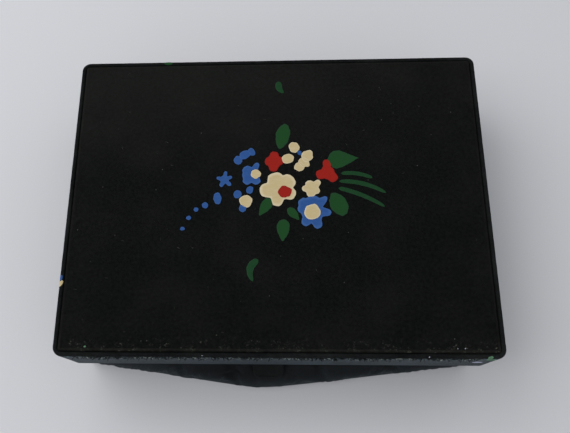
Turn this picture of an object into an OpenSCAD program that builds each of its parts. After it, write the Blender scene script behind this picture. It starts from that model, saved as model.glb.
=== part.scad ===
// Cloth-covered jewelry box: a deep hinged lid over a tray case with a bowed, padded front.
// Millimetres, +Z up, front towards -Y. The origin is on the underside, below the middle of the lid.

/* [Box] */
// Width of the lid over its cloth
lid_w = 200; // [180:1:230]
// Depth of the lid over its cloth, front to back
lid_d = 150; // [138:1:175]
// Height from the table to the top of the lid
box_h = 54; // [51:0.5:62]
// Depth of the lid's rim, from its top surface to its lower edge
rim_depth = 31; // [29:0.5:33]
// Radius of the lid's upright corners
lid_corner_r = 3; // [2.6:0.1:5]

/* [Board and cloth] */
// Thickness of the millboard of rims and walls
board_t = 2; // [1.6:0.1:2.4]
// Thickness of the lid's and the base's millboard
deck_t = 2.4; // [2:0.1:3]
// Thickness of the covering cloth with its glue
cloth_t = 0.6; // [0.4:0.05:0.8]
// Thickness of the lining inside the walls
lining_t = 0.6; // [0.4:0.05:0.8]

/* [Lid dressing] */
// Thickness of the wadded panel on top of the lid
panel_t = 3; // [2:0.1:4]
// Radius of the piping round the top edge
piping_r = 1.1; // [0.8:0.05:1.3]
// Thickness of the lining pad on the lid's ceiling
ceiling_t = 1; // [0.6:0.1:1.4]
// Width of the mirror glass
mirror_w = 140; // [110:1:150]
// Depth of the mirror glass, front to back
mirror_d = 96; // [80:1:104]
// Thickness of the mirror glass
mirror_t = 1.6; // [1.2:0.1:1.8]
// How far the mirror frame reaches out past the glass
frame_out = 5; // [3:0.5:7]
// How far the mirror frame laps over the glass
frame_lap = 2; // [1:0.5:3]
// Thickness of the frame's lap under the glass
frame_lip_t = 0.7; // [0.5:0.1:0.9]

/* [Bowed front] */
// Thickness of the padded front wall, front to back
front_t = 3; // [2:0.1:4]
// How far the top of the front wall leans back from the lid rim's inside
front_lean = 4.4; // [3.6:0.1:5]
// Gap from the rim's inside to the front wall, at the height of the rim's lower edge
front_gap = 2.4; // [2:0.1:2.8]
// How far the wall's foot stands out past that, at the ends
front_foot = 2.3; // [1.5:0.1:3]
// Reach of the bow if its two flanks met in a point
bow_peak = 13.1; // [8:0.1:14]
// Place of the bow's apex, from the middle
bow_x = -8; // [-12:1:12]
// Softness of the apex, as a share of a flank
bow_soft = 0.09; // [0.05:0.01:0.2]
// Height of the fullest part of the bow, above the base board
belly_up = 3; // [2:0.5:4]
// How far the foot of the wall tucks back under the bow
belly_tuck = 0.8; // [0.4:0.1:1.2]

/* [Closing tab] */
// Width of the closing tab
tab_w = 15; // [12:0.5:18]
// Place of the tab's centre line, from the middle
tab_x = -4; // [-12:1:12]
// Length of the tab from its fold
tab_len = 11; // [10.5:0.1:11.5]
// Thickness of the tab
tab_t = 1.4; // [1.2:0.1:1.5]
// Gap between the resting tab and the front wall
tab_gap = 0.85; // [0.8:0.05:1.1]
// Length of the tab's root, glued up inside the rim
root_len = 12; // [8:0.5:14]
// Thickness of the tab's root
root_t = 1.2; // [0.9:0.1:1.3]
// Radius of the press stud's plates
snap_r = 2.4; // [2:0.1:2.6]
// Radius of the stud's knob
knob_r = 1; // [0.8:0.05:1.1]
// Thickness of each press stud plate
snap_t = 0.4; // [0.3:0.05:0.45]
// Distance of the press stud from the tab's fold
snap_at = 5.5; // [5:0.1:6]

/* [Hinges] */
// Width of each butt hinge
hinge_w = 26; // [22:0.5:32]
// Lid's end to the middle of each hinge (mm)
hinge_from_end = 44; // [35:1:60]
// Height of each leaf, from the pin's axis
leaf_h = 12; // [11:0.5:14]
// Thickness of the leaves
leaf_t = 0.8; // [0.6:0.05:1]
// Outer radius of the knuckles
knuckle_r = 1.9; // [1.7:0.05:2.1]
// Radius of the hinge pins
pin_r = 0.9; // [0.8:0.05:1]
// Radius of the rivets' shanks
rivet_r = 0.8; // [0.6:0.05:0.9]
// Radius of the rivets' heads
rivet_head_r = 1.7; // [1.4:0.1:2]
// Distance of the rivets from each other, along the leaf
rivet_pitch = 16; // [12:0.5:18]
// Distance of the rivets from the pin's axis
rivet_out = 8; // [7.5:0.5:9]

/* [Case inside] */
// Thickness of the pad on the case's floor
pad_t = 1.6; // [1:0.1:2.4]
// Thickness of the dividers
divider_t = 1.8; // [1.4:0.1:2.4]
// Distance of the cross dividers from the middle
cell_x = 31; // [24:1:38]
// Width of the ledges that carry the tray
ledge_w = 4; // [3:0.5:6]
// Height of the ledges
ledge_h = 3; // [2:0.5:3.5]

/* [Tray] */
// How far the top of the tray lies below the top of the case
tray_sink = 4.3; // [4:0.1:5]
// Height of the tray's walls, from its underside
tray_h = 14.5; // [13:0.5:15]
// Thickness of the tray's floor
tray_floor_t = 1.6; // [1.2:0.1:2]
// Thickness of the tray's walls
tray_wall_t = 1.8; // [1.4:0.1:2.2]
// Thickness of the tray's lining pad
tray_pad_t = 1; // [0.8:0.1:1.4]
// Place of the partition beside the ring rolls, from the middle
ring_x = -30; // [-40:1:-20]
// Radius of each ring roll
roll_r = 5; // [4:0.5:5.5]
// Distance from each ring roll to the next
roll_pitch = 11.4; // [11.2:0.1:13]
// Number of cells behind and in front of the tray's middle partition
tray_cells = 3; // [2:1:4]
// Width of the ribbon pulls
pull_w = 12; // [8:1:16]
// How far the ribbon pulls stand up past the tray
pull_up = 1.5; // [0:0.5:2]

/* [Clearances] */
// Gap between the lid's rim and the case's sides and back
lid_gap = 0.8; // [0.5:0.1:1]
// Gap under a lid, tray or pad that rests
seat_gap = 0.3; // [0.2:0.05:0.4]
// Gap round the tray and other loose pieces
loose_gap = 0.6; // [0.4:0.1:0.8]
// Gap between the hinge's knuckles
knuckle_gap = 0.3; // [0.2:0.05:0.4]
// Radial gap round pins and rivets
pin_gap = 0.05; // [0.03:0.01:0.08]

/* [Hidden] */
$fn = 48;
e = 0.01;   // overshoot of a cut past a face

black_cloth = [0.08, 0.09, 0.085];
slate_cloth = [0.17, 0.2, 0.22];
board_grey = [0.45, 0.42, 0.36];
velvet = [0.42, 0.05, 0.09];
brass = [0.72, 0.58, 0.3];

// Heights
rim_z = box_h - rim_depth;
deck_top = box_h - panel_t;
deck_z = deck_top - deck_t;
ceiling_z = deck_z - ceiling_t;
wall_top = ceiling_z - seat_gap;
board_z = cloth_t + deck_t;
floor_z = board_z + pad_t;
belly_z = board_z + belly_up;
tray_top = wall_top - tray_sink;
tray_z = tray_top - tray_h;
ledge_top = tray_z - seat_gap;
divider_top = ledge_top - ledge_h - loose_gap;
axis_z = rim_z - seat_gap / 2;

// Half widths, and the y of the faces that run across
rim_in_x = lid_w / 2 - cloth_t - board_t;
rim_in_y = lid_d / 2 - cloth_t - board_t;
case_x = rim_in_x - lid_gap;
case_y = rim_in_y - lid_gap;
inner_x = case_x - cloth_t - board_t - lining_t;
inner_y = case_y - cloth_t - board_t - lining_t;
case_corner_r = lid_corner_r - cloth_t;
axis_y = lid_d / 2 + knuckle_r + knuckle_gap / 3;
hinge_x = lid_w / 2 - hinge_from_end;

// Tray
tray_x = inner_x - loose_gap;
tray_back = inner_y - loose_gap;
tray_front = front_y(case_x, wall_top) + front_t + loose_gap;
tray_mid = (tray_back + tray_front) / 2;
tray_deep = tray_back - tray_front;
tray_floor = tray_z + tray_floor_t;

// Fold of the tab, under the rim's inside edge. The resting tab leans out just enough to clear the bow.
tab_y = -rim_in_y - tab_t / 2;
tab_z = rim_z - tab_t / 2;
function tab_lean_at(side, drop) = asin((tab_t / 2 + tab_gap) / norm([side, drop])) - atan2(side, drop);
tab_lean = max([for (drop = [tab_len / 4:tab_len / 40:tab_len * 0.82])
    tab_lean_at(front_y(bow_x, tab_z - drop) - tab_y, drop)]);

// The front wall's outer face. The bow is two straight flanks with a soft apex between them.
function flank(x) = abs(x - bow_x) / (x < bow_x ? case_x + bow_x : case_x - bow_x);
function bow(x) = bow_peak * (sqrt(1 + bow_soft * bow_soft) - sqrt(pow(flank(x), 2) + bow_soft * bow_soft));
// Share of the bow at height z: none above the rim's edge, all of it at the belly, a little less at the foot
function swell(z) = z >= rim_z ? 0
    : z >= belly_z ? (1 - cos(180 * (rim_z - z) / (rim_z - belly_z))) / 2
    : 1;
function tuck(z) = z >= belly_z ? 0 : belly_tuck * pow((belly_z - z) / belly_z, 2);
function lean(z) = z <= rim_z ? front_gap
    : front_gap + (front_lean - front_gap) * (z - rim_z) / (wall_top - rim_z);
function front_y(x, z) = -rim_in_y + lean(z) - swell(z) * (front_foot + bow(x)) + tuck(z);
function front_in(x, z) = front_y(x, z) + front_t;

// Heights and stations along the front wall
front_levels = concat([for (i = [0:5]) cloth_t + deck_t + (belly_z - cloth_t - deck_t) * i / 5],
    [for (i = [1:9]) belly_z + (rim_z - belly_z) * i / 9], [wall_top]);
front_steps = 36;
front_xs = [for (i = [0:front_steps]) -case_x + 2 * case_x * i / front_steps];

// Plate with round upright corners, centred on the z axis
module plate(w, d, r, h) {
    linear_extrude(h) {
        square([w - 2 * r, d], center = true);
        square([w, d - 2 * r], center = true);
        for (sx = [-1, 1], sy = [-1, 1])
            translate([sx * (w / 2 - r), sy * (d / 2 - r)]) circle(r);
    }
}

// Upright ring between two such plates
module hoop(w, d, r, wall, h) {
    difference() {
        plate(w, d, r, h);
        translate([0, 0, -e]) plate(w - 2 * wall, d - 2 * wall, max(r - wall, 0.2), h + 2 * e);
    }
}

// Ring for the case's sides and back: its own front run lies ahead of the front wall, and is cut away
module case_hoop(inset, wall, h) {
    reach = 4 * lid_corner_r;
    translate([0, -reach / 2, 0]) hoop(2 * (case_x - inset), 2 * (case_y - inset) + reach,
        lid_corner_r - inset, wall, h);
}

// The space that the case's boards are cut from, inside their cloth
module case_core() {
    reach = 4 * lid_corner_r;
    translate([0, -reach / 2, board_z]) plate(2 * (case_x - cloth_t), 2 * (case_y - cloth_t) + reach,
        case_corner_r, wall_top - cloth_t - board_z);
}

// Box from one corner to the opposite one
module block(a, b) {
    translate(a) cube(b - a);
}

// Everything behind the back of the padded front wall, taken at the case's ends
module behind_front() {
    edge = [for (z = front_levels) [front_in(case_x, z) + pin_gap, z]];
    translate([-lid_w, 0, 0]) rotate([90, 0, 90]) linear_extrude(2 * lid_w)
        polygon(concat([[lid_d, box_h], [lid_d, 0], [edge[0][0], 0]], edge,
            [[edge[len(edge) - 1][0], box_h]]));
}

// Flat slab of the case's plan, with the bowed front at height z, inset all round
module case_slab(z, inset, back, h) {
    side = case_x - inset;
    r = case_corner_r;
    front = [for (x = front_xs) [x * side / case_x, front_y(x, z) + inset]];
    corners = [for (a = [0:15:180])
        [(a < 90 ? 1 : -1) * (side - r) + r * cos(a), back - r + r * sin(a)]];
    linear_extrude(h) polygon(concat(corners, front));
}

// ---------- case ----------

module base_cover() {
    color(black_cloth) case_slab(board_z, 0, lid_d / 2, cloth_t);
}

module base_board() {
    color(board_grey) translate([0, 0, cloth_t]) case_slab(board_z, cloth_t, case_y - cloth_t, deck_t);
}

module back_wall() {
    color(board_grey) intersection() {
        case_core();
        block([-lid_w, case_y - cloth_t - board_t, 0], [lid_w, lid_d, box_h]);
    }
}

// Side wall whose front edge follows the back of the padded front wall
module side_wall(side) {
    intersection() {
        case_core();
        scale([side, 1, 1]) block([case_x - cloth_t - board_t, -lid_d, 0],
            [lid_w, case_y - cloth_t - board_t, box_h]);
        behind_front();
    }
}

module left_wall() {
    color(board_grey) side_wall(-1);
}

module right_wall() {
    color(board_grey) side_wall(1);
}

// Batten that brings the case's back out to the lid's back, so that the hinges lie flat
module back_rail() {
    color(black_cloth) difference() {
        block([-case_x, case_y, cloth_t], [case_x, lid_d / 2, rim_z - seat_gap]);
        rivet_places(-1) rivet_hole();
    }
}

module front_wall() {
    n = len(front_levels);
    ring = 2 * n;
    function section(x) = concat([for (i = [0:n - 1]) [x, front_y(x, front_levels[i]), front_levels[i]]],
        [for (i = [n - 1:-1:0]) [x, front_in(x, front_levels[i]), front_levels[i]]]);
    points = [for (x = front_xs) each section(x)];
    last = front_steps * ring;
    ends = [for (i = [0:n - 2]) each [[i, ring - 1 - i, ring - 2 - i, i + 1],
        [last + i, last + i + 1, last + ring - 2 - i, last + ring - 1 - i]]];
    skin = [for (i = [0:front_steps - 1], k = [0:ring - 1])
        [i * ring + k, i * ring + (k + 1) % ring, (i + 1) * ring + (k + 1) % ring, (i + 1) * ring + k]];
    color(black_cloth) polyhedron(points, concat(ends, skin));
}

// Cloth round the sides and back of the case, turned over the top edge
module case_cover() {
    color(black_cloth) intersection() {
        union() {
            translate([0, 0, cloth_t]) case_hoop(0, cloth_t, wall_top - cloth_t);
            translate([0, 0, wall_top - cloth_t]) case_hoop(0, case_x - inner_x, cloth_t);
        }
        behind_front();
    }
}

module wall_lining() {
    color(velvet) intersection() {
        translate([0, 0, floor_z]) case_hoop(cloth_t + board_t, lining_t, wall_top - cloth_t - floor_z);
        behind_front();
    }
}

module floor_pad() {
    side = inner_x + lining_t - pin_gap;
    front = [for (x = front_xs) [x * side / case_x, front_in(x, board_z) + pin_gap]];
    back = inner_y + lining_t - pin_gap;
    color(velvet) translate([0, 0, board_z])
        linear_extrude(pad_t) polygon(concat([[side, back], [-side, back]], front));
}

module long_divider() {
    color(velvet) block([-inner_x + pin_gap, -divider_t / 2, floor_z],
        [inner_x - pin_gap, divider_t / 2, divider_top]);
}

// Two dividers behind the long one, and two in front that follow the bowed wall
module cross_dividers() {
    color(velvet) for (x = [-cell_x, cell_x]) {
        block([x - divider_t / 2, divider_t / 2, floor_z],
            [x + divider_t / 2, inner_y - pin_gap, divider_top]);
        reach = max(front_in(x - divider_t / 2, belly_z), front_in(x + divider_t / 2, belly_z));
        slack = reach - front_in(x, belly_z) + pin_gap;
        edge = [for (z = front_levels) if (z > floor_z && z < divider_top) [front_in(x, z) + slack, z]];
        foot = [front_in(x, floor_z) + slack, floor_z];
        last = [front_in(x, divider_top) + slack, divider_top];
        translate([x - divider_t / 2, 0, 0]) rotate([90, 0, 90]) linear_extrude(divider_t)
            polygon(concat([[-divider_t / 2, divider_top], [-divider_t / 2, floor_z], foot], edge, [last]));
    }
}

module tray_ledges() {
    color(velvet) for (side = [-1, 1]) scale([side, 1, 1])
        block([inner_x - ledge_w, tray_front, ledge_top - ledge_h], [inner_x, tray_back, ledge_top]);
}

// ---------- lid ----------

module lid_board() {
    color(board_grey) translate([0, 0, deck_z])
        plate(lid_w - 2 * cloth_t, lid_d - 2 * cloth_t, lid_corner_r - cloth_t, deck_t);
}

// The space that the rim's boards are cut from, inside their cloth
module rim_core() {
    translate([0, 0, rim_z + cloth_t]) plate(lid_w - 2 * cloth_t, lid_d - 2 * cloth_t,
        lid_corner_r - cloth_t, deck_z - rim_z - cloth_t);
}

// Front or back board of the rim, over the whole width
module rim_across(side) {
    intersection() {
        rim_core();
        scale([1, side, 1]) block([-lid_w, rim_in_y, 0], [lid_w, lid_d, box_h]);
    }
}

module rim_front() {
    color(board_grey) rim_across(-1);
}

module rim_back() {
    color(board_grey) difference() {
        rim_across(1);
        rivet_places(1) rivet_hole();
    }
}

module rim_side(side) {
    intersection() {
        rim_core();
        scale([side, 1, 1]) block([rim_in_x, -rim_in_y, 0], [lid_w, rim_in_y, box_h]);
    }
}

module rim_left() {
    color(board_grey) rim_side(-1);
}

module rim_right() {
    color(board_grey) rim_side(1);
}

// Cloth round the rim, turned in under its lower edge
module rim_cover() {
    color(slate_cloth) difference() {
        union() {
            translate([0, 0, rim_z]) hoop(lid_w, lid_d, lid_corner_r, cloth_t, deck_top - rim_z);
            translate([0, 0, rim_z]) hoop(lid_w, lid_d, lid_corner_r, lid_w / 2 - rim_in_x, cloth_t);
        }
        rivet_places(1) rivet_hole();
    }
}

panel_inset = 2 * piping_r + pin_gap;

module lid_panel() {
    color(black_cloth) translate([0, 0, deck_top])
        plate(lid_w - 2 * panel_inset, lid_d - 2 * panel_inset, lid_corner_r, panel_t);
}

// Piping: four straight runs and four quarter turns
module lid_piping() {
    run_x = lid_w / 2 - lid_corner_r;
    run_y = lid_d / 2 - lid_corner_r;
    turn = lid_corner_r - piping_r;
    color(black_cloth) translate([0, 0, deck_top + piping_r]) {
        for (side = [-1, 1]) {
            translate([-run_x, side * (run_y + turn), 0]) rotate([0, 90, 0]) cylinder(r = piping_r, h = 2 * run_x);
            translate([side * (run_x + turn), -run_y, 0]) rotate([-90, 0, 0]) cylinder(r = piping_r, h = 2 * run_y);
        }
        for (i = [0:3])
            translate([(i == 0 || i == 3 ? 1 : -1) * run_x, (i < 2 ? 1 : -1) * run_y, 0])
                rotate([0, 0, 90 * i]) rotate_extrude(angle = 90) translate([turn, 0]) circle(piping_r);
    }
}

module ceiling_pad() {
    color(velvet) translate([0, 0, ceiling_z])
        plate(2 * (rim_in_x - pin_gap), 2 * (rim_in_y - pin_gap), cloth_t, ceiling_t);
}

module mirror() {
    color([0.75, 0.8, 0.82]) translate([0, 0, ceiling_z - mirror_t]) plate(mirror_w, mirror_d, 2, mirror_t);
}

module mirror_frame() {
    frame_z = ceiling_z - mirror_t - frame_lip_t;
    color(brass) difference() {
        translate([0, 0, frame_z])
            plate(mirror_w + 2 * frame_out, mirror_d + 2 * frame_out, 2 + frame_out, mirror_t + frame_lip_t);
        translate([0, 0, frame_z + frame_lip_t])
            plate(mirror_w + 2 * pin_gap, mirror_d + 2 * pin_gap, 2 + pin_gap, box_h);
        translate([0, 0, frame_z - e])
            plate(mirror_w - 2 * frame_lap, mirror_d - 2 * frame_lap, 1, box_h);
    }
}

// ---------- closing tab ----------

module tab_root() {
    color(black_cloth) block([tab_x - tab_w / 2, -rim_in_y, rim_z + cloth_t],
        [tab_x + tab_w / 2, -rim_in_y + root_t, rim_z + cloth_t + root_len]);
}

// Frame of the resting tab: x across, -z along the tab from its fold, -y out of its face
module at_tab() {
    translate([tab_x, tab_y, tab_z]) rotate([-tab_lean, 0, 0]) children();
}

module closing_tab() {
    end_r = tab_w / 4;
    color(black_cloth) at_tab() rotate([90, 0, 0]) translate([0, 0, -tab_t / 2]) linear_extrude(tab_t) {
        translate([-tab_w / 2, -tab_len + end_r]) square([tab_w, tab_len - end_r]);
        translate([-tab_w / 2 + end_r, -tab_len]) square([tab_w - 2 * end_r, end_r + e]);
        for (side = [-1, 1]) translate([side * (tab_w / 2 - end_r), -tab_len + end_r]) circle(end_r);
    }
}

module at_snap() {
    at_tab() translate([0, tab_t / 2, -snap_at]) rotate([-90, 0, 0]) children();
}

module snap_socket() {
    color(brass) at_snap() difference() {
        translate([0, 0, pin_gap]) cylinder(r = snap_r, h = snap_t);
        translate([0, 0, -e]) cylinder(r = knob_r + loose_gap / 2, h = snap_t * 3);
    }
}

// The stud's shank is clenched through the padded front
module snap_stud() {
    knob = pin_gap + snap_t + seat_gap / 2;
    color(brass) at_snap() {
        translate([0, 0, knob]) cylinder(r = knob_r, h = 2 * snap_t);
        translate([0, 0, knob + snap_t]) cylinder(r = snap_r, h = snap_t);
        translate([0, 0, knob + 2 * snap_t - e]) cylinder(r = knob_r / 2, h = front_t * 0.8);
    }
}

// ---------- hinges ----------

module at_hinges() {
    for (side = [-1, 1]) translate([side * hinge_x, axis_y, axis_z]) children();
}

module rivet_places(up) {
    for (side = [-1, 1], k = [-1, 1])
        translate([side * hinge_x + k * rivet_pitch / 2, lid_d / 2, axis_z + up * rivet_out])
            rotate([90, 0, 0]) children();
}

rivet_in = cloth_t + board_t;
knuckle_len = (hinge_w - 2 * knuckle_gap) / 3;

module rivet_hole() {
    translate([0, 0, -2 * leaf_t]) cylinder(r = rivet_r + pin_gap, h = 2 * leaf_t + rivet_in + e);
}

module rivet() {
    translate([0, 0, -leaf_t]) cylinder(r = rivet_r, h = leaf_t + rivet_in - pin_gap);
    translate([0, 0, -leaf_t * 1.9]) cylinder(r1 = rivet_head_r * 0.7, r2 = rivet_head_r, h = leaf_t * 0.9);
}

// Knuckle along x, from one end
module knuckle(start, length) {
    translate([start, 0, 0]) rotate([0, 90, 0]) cylinder(r = knuckle_r, h = length);
}

// Leaf with its knuckles, in the hinge's own frame: pin along x, plate towards +z (up = 1) or -z (up = -1)
module leaf(up) {
    plate_y = lid_d / 2 - axis_y;
    clear = knuckle_r + knuckle_gap;
    ends = up > 0 ? [[-knuckle_len / 2, knuckle_len]]
        : [[-hinge_w / 2, knuckle_len], [hinge_w / 2 - knuckle_len, knuckle_len]];
    difference() {
        union() {
            scale([1, 1, up]) block([-hinge_w / 2, plate_y, clear], [hinge_w / 2, plate_y + leaf_t, leaf_h]);
            for (k = ends) {
                knuckle(k[0], k[1]);
                scale([1, 1, up]) block([k[0], plate_y, 0], [k[0] + k[1], plate_y + leaf_t, clear + e]);
            }
        }
        translate([-hinge_w, 0, 0]) rotate([0, 90, 0]) cylinder(r = pin_r + pin_gap, h = 2 * hinge_w);
    }
}

module hinge_leaf(side, up) {
    difference() {
        translate([side * hinge_x, axis_y, axis_z]) leaf(up);
        rivet_places(up) rivet_hole();
    }
}

module left_hinge_lower_leaf() {
    color(brass) hinge_leaf(-1, -1);
}

module right_hinge_lower_leaf() {
    color(brass) hinge_leaf(1, -1);
}

module left_hinge_upper_leaf() {
    color(brass) hinge_leaf(-1, 1);
}

module right_hinge_upper_leaf() {
    color(brass) hinge_leaf(1, 1);
}

module hinge_pins() {
    head = pin_r * 0.8;
    color(brass) at_hinges() rotate([0, 90, 0]) {
        translate([0, 0, -hinge_w / 2 - pin_gap]) cylinder(r = pin_r, h = hinge_w + 2 * pin_gap);
        for (side = [-1, 1]) scale([1, 1, side]) translate([0, 0, hinge_w / 2 + pin_gap])
            cylinder(r1 = knuckle_r * 0.8, r2 = pin_r * 0.8, h = head);
    }
}

module lower_rivets() {
    color(brass) rivet_places(-1) rivet();
}

module upper_rivets() {
    color(brass) rivet_places(1) rivet();
}

// ---------- tray ----------

module tray_shell() {
    color(velvet) translate([0, tray_mid, tray_z]) difference() {
        plate(2 * tray_x, tray_deep, tray_wall_t, tray_h);
        translate([0, 0, tray_floor_t])
            plate(2 * (tray_x - tray_wall_t), tray_deep - 2 * tray_wall_t, lining_t, tray_h);
    }
}

tray_in_x = tray_x - tray_wall_t - pin_gap;
tray_in_y = tray_deep / 2 - tray_wall_t - pin_gap;

module tray_pad() {
    color(velvet) translate([0, tray_mid, tray_floor]) plate(2 * tray_in_x, 2 * tray_in_y, lining_t, tray_pad_t);
}

// One partition beside the ring rolls, one along the middle of the rest, and the cell walls
module tray_partitions() {
    low = tray_floor + tray_pad_t;
    top = tray_top - loose_gap;
    cell_w = (tray_in_x - ring_x) / tray_cells;
    color(velvet) translate([0, tray_mid, 0]) {
        block([ring_x - divider_t, -tray_in_y, low], [ring_x, tray_in_y, top]);
        block([ring_x, -divider_t / 2, low], [tray_in_x - cloth_t - pin_gap, divider_t / 2, top]);
        for (i = [1:tray_cells - 1], s = [-1, 1]) scale([1, s, 1])
            block([ring_x + i * cell_w - divider_t / 2, divider_t / 2 - e, low],
                [ring_x + i * cell_w + divider_t / 2, tray_in_y, top]);
    }
}

module ring_rolls() {
    from = -tray_in_x + cloth_t + pin_gap;
    to = ring_x - divider_t - pin_gap;
    count = floor((2 * tray_in_y - 2 * roll_r) / roll_pitch) + 1;
    color(velvet) for (i = [0:count - 1])
        translate([from, tray_mid + (i - (count - 1) / 2) * roll_pitch, tray_floor + tray_pad_t + roll_r + pin_gap])
            rotate([0, 90, 0]) cylinder(r = roll_r, h = to - from);
}

// Ribbon pulls glued to the outside of the tray's ends would foul the case, so they lie inside
module tray_pulls() {
    color(brass) for (side = [-1, 1]) scale([side, 1, 1])
        block([tray_in_x - cloth_t, tray_mid - pull_w / 2, tray_floor + tray_pad_t],
            [tray_in_x, tray_mid + pull_w / 2, tray_top + pull_up]);
}

base_cover();
base_board();
back_wall();
left_wall();
right_wall();
back_rail();
front_wall();
case_cover();
wall_lining();
floor_pad();
long_divider();
cross_dividers();
tray_ledges();
snap_stud();
left_hinge_lower_leaf();
right_hinge_lower_leaf();
hinge_pins();
lower_rivets();
lid_board();
rim_front();
rim_back();
rim_left();
rim_right();
rim_cover();
lid_panel();
lid_piping();
ceiling_pad();
mirror();
mirror_frame();
tab_root();
left_hinge_upper_leaf();
right_hinge_upper_leaf();
upper_rivets();
closing_tab();
snap_socket();
tray_shell();
tray_pad();
tray_partitions();
ring_rolls();
tray_pulls();
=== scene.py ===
"""Jewelry box in black ribbed cloth with a painted spray on its lid: the looks of its pieces."""
import math

import bmesh
import bpy
from mathutils import Matrix, Vector, noise


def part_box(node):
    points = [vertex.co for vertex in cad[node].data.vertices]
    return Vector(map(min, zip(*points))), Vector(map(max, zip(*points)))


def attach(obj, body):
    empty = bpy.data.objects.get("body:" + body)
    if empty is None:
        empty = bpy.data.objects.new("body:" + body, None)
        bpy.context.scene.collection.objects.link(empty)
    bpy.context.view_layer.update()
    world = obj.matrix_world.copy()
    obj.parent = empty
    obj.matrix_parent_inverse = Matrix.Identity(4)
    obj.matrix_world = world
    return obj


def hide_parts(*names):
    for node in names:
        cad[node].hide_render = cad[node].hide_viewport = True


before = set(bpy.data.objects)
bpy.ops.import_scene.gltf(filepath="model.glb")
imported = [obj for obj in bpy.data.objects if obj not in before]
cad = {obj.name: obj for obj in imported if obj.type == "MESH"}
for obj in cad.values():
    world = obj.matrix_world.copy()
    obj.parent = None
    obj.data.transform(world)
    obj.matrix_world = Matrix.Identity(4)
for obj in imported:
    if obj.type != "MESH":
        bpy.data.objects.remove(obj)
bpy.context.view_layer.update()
scene = bpy.context.scene
scene.view_settings.view_transform = "Standard"
MM = 0.001


# ---------- Camera ----------
# Held by hand above the front edge of the box, looking down on the lid and tipped a little. The view is cut
# from a little beside the lens's middle.
def stand(name, data):
    """Object at the origin for a mesh, a lamp or the camera."""
    made = bpy.data.objects.new(name, data)
    scene.collection.objects.link(made)
    return made


camera_at = Vector((3.8, -106.8, 339.1)) * MM
camera_side, camera_height, camera_tilt = (math.radians(a) for a in (9.18, 71.03, -8.98))
look_back = Vector((math.sin(camera_side) * math.cos(camera_height),
                    -math.cos(camera_side) * math.cos(camera_height), math.sin(camera_height)))
level_right = Vector((0, 0, 1)).cross(look_back).normalized()
level_up = look_back.cross(level_right)
view_right = math.cos(camera_tilt) * level_right + math.sin(camera_tilt) * level_up
view_up = math.cos(camera_tilt) * level_up - math.sin(camera_tilt) * level_right
camera = stand("camera", bpy.data.cameras.new("camera"))
camera.data.sensor_width = 36
camera.data.lens = 40.53
camera.data.shift_x = 0.0614
camera.data.clip_start = 0.01
camera_turn = Matrix((view_right, view_up, look_back)).transposed().to_4x4()
camera.matrix_world = Matrix.Translation(camera_at) @ camera_turn
scene.camera = camera


# ---------- Table and light ----------
# A plain pale table top in an even, pale room. A wide soft window on the left throws a faint shadow to the
# right, and a weaker one behind gives the cloth its gloss.
class Strand:
    """One value in a node tree. Sums on it add Math nodes."""

    def __init__(self, tree, node, out=0):
        self.tree, self.node, self.out = tree, node, out

    def socket(self):
        return pick(self.node.outputs, self.out)

    def also(self, out):
        return Strand(self.tree, self.node, out)

    def __add__(self, other):
        return self.tree.sum("ADD", self, other)

    __radd__ = __add__

    def __mul__(self, other):
        return self.tree.sum("MULTIPLY", self, other)

    __rmul__ = __mul__

    def __sub__(self, other):
        return self.tree.sum("SUBTRACT", self, other)

    def __rsub__(self, other):
        return self.tree.sum("SUBTRACT", other, self)


def pick(sockets, key):
    """Socket by its place, its identifier or its name."""
    if isinstance(key, int):
        return sockets[key]
    return next((s for s in sockets if s.identifier == key), None) or sockets[key]


class Tree:
    """Node tree of a finish, of the room's light, or of a run of stitches."""

    def __init__(self, tree):
        self.tree = tree

    def node(self, kind, settings=None, inputs=None, out=0):
        made = self.tree.nodes.new(kind)
        for name, setting in (settings or {}).items():
            setattr(made, name, setting)
        for key, value in (inputs or {}).items():
            if isinstance(value, Strand):
                self.tree.links.new(value.socket(), pick(made.inputs, key))
            else:
                pick(made.inputs, key).default_value = value
        return Strand(self, made, out)

    def sum(self, operation, *values):
        return self.node("ShaderNodeMath", {"operation": operation}, dict(enumerate(values)))

    def scaled(self, vector, by):
        return self.node("ShaderNodeVectorMath", {"operation": "MULTIPLY"}, {0: vector, 1: by})


class Finish(Tree):
    """Material of one kind of cloth, board, metal or paint. Places are in millimetres."""

    def __init__(self, name):
        self.material = bpy.data.materials.new(name)
        self.material.use_nodes = True
        super().__init__(self.material.node_tree)
        self.tree.nodes.clear()

    def place(self, kind="Object"):
        return self.scaled(self.node("ShaderNodeTexCoord", out=kind), (1 / MM, 1 / MM, 1 / MM))

    def axes(self, vector):
        split = self.node("ShaderNodeSeparateXYZ", inputs={0: vector})
        return split, split.also(1), split.also(2)

    def cloud(self, where, size, detail=3, rough=0.55):
        """Soft noise from 0 to 1 whose blots are about this many millimetres wide."""
        return self.node("ShaderNodeTexNoise", inputs={
            "Vector": where, "Scale": 1 / size, "Detail": detail, "Roughness": rough})

    def between(self, value, low, high):
        """0 below low, 1 above high, and smooth between."""
        return self.node("ShaderNodeMapRange", {"interpolation_type": "SMOOTHSTEP"},
                         {"Value": value, "From Min": low, "From Max": high})

    def mix(self, share, first, second):
        return self.node("ShaderNodeMix", {"data_type": "RGBA"},
                         {"Factor_Float": share, "A_Color": first, "B_Color": second}, "Result_Color")

    def bump(self, height, depth):
        """Relief of this depth in millimetres."""
        return self.node("ShaderNodeBump", inputs={"Height": height, "Distance": depth * MM})

    def surface(self, **sockets):
        named = {key.replace("_", " "): value for key, value in sockets.items()}
        shader = self.node("ShaderNodeBsdfPrincipled", inputs=named)
        self.node("ShaderNodeOutputMaterial", inputs={"Surface": shader})
        return self.material


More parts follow.
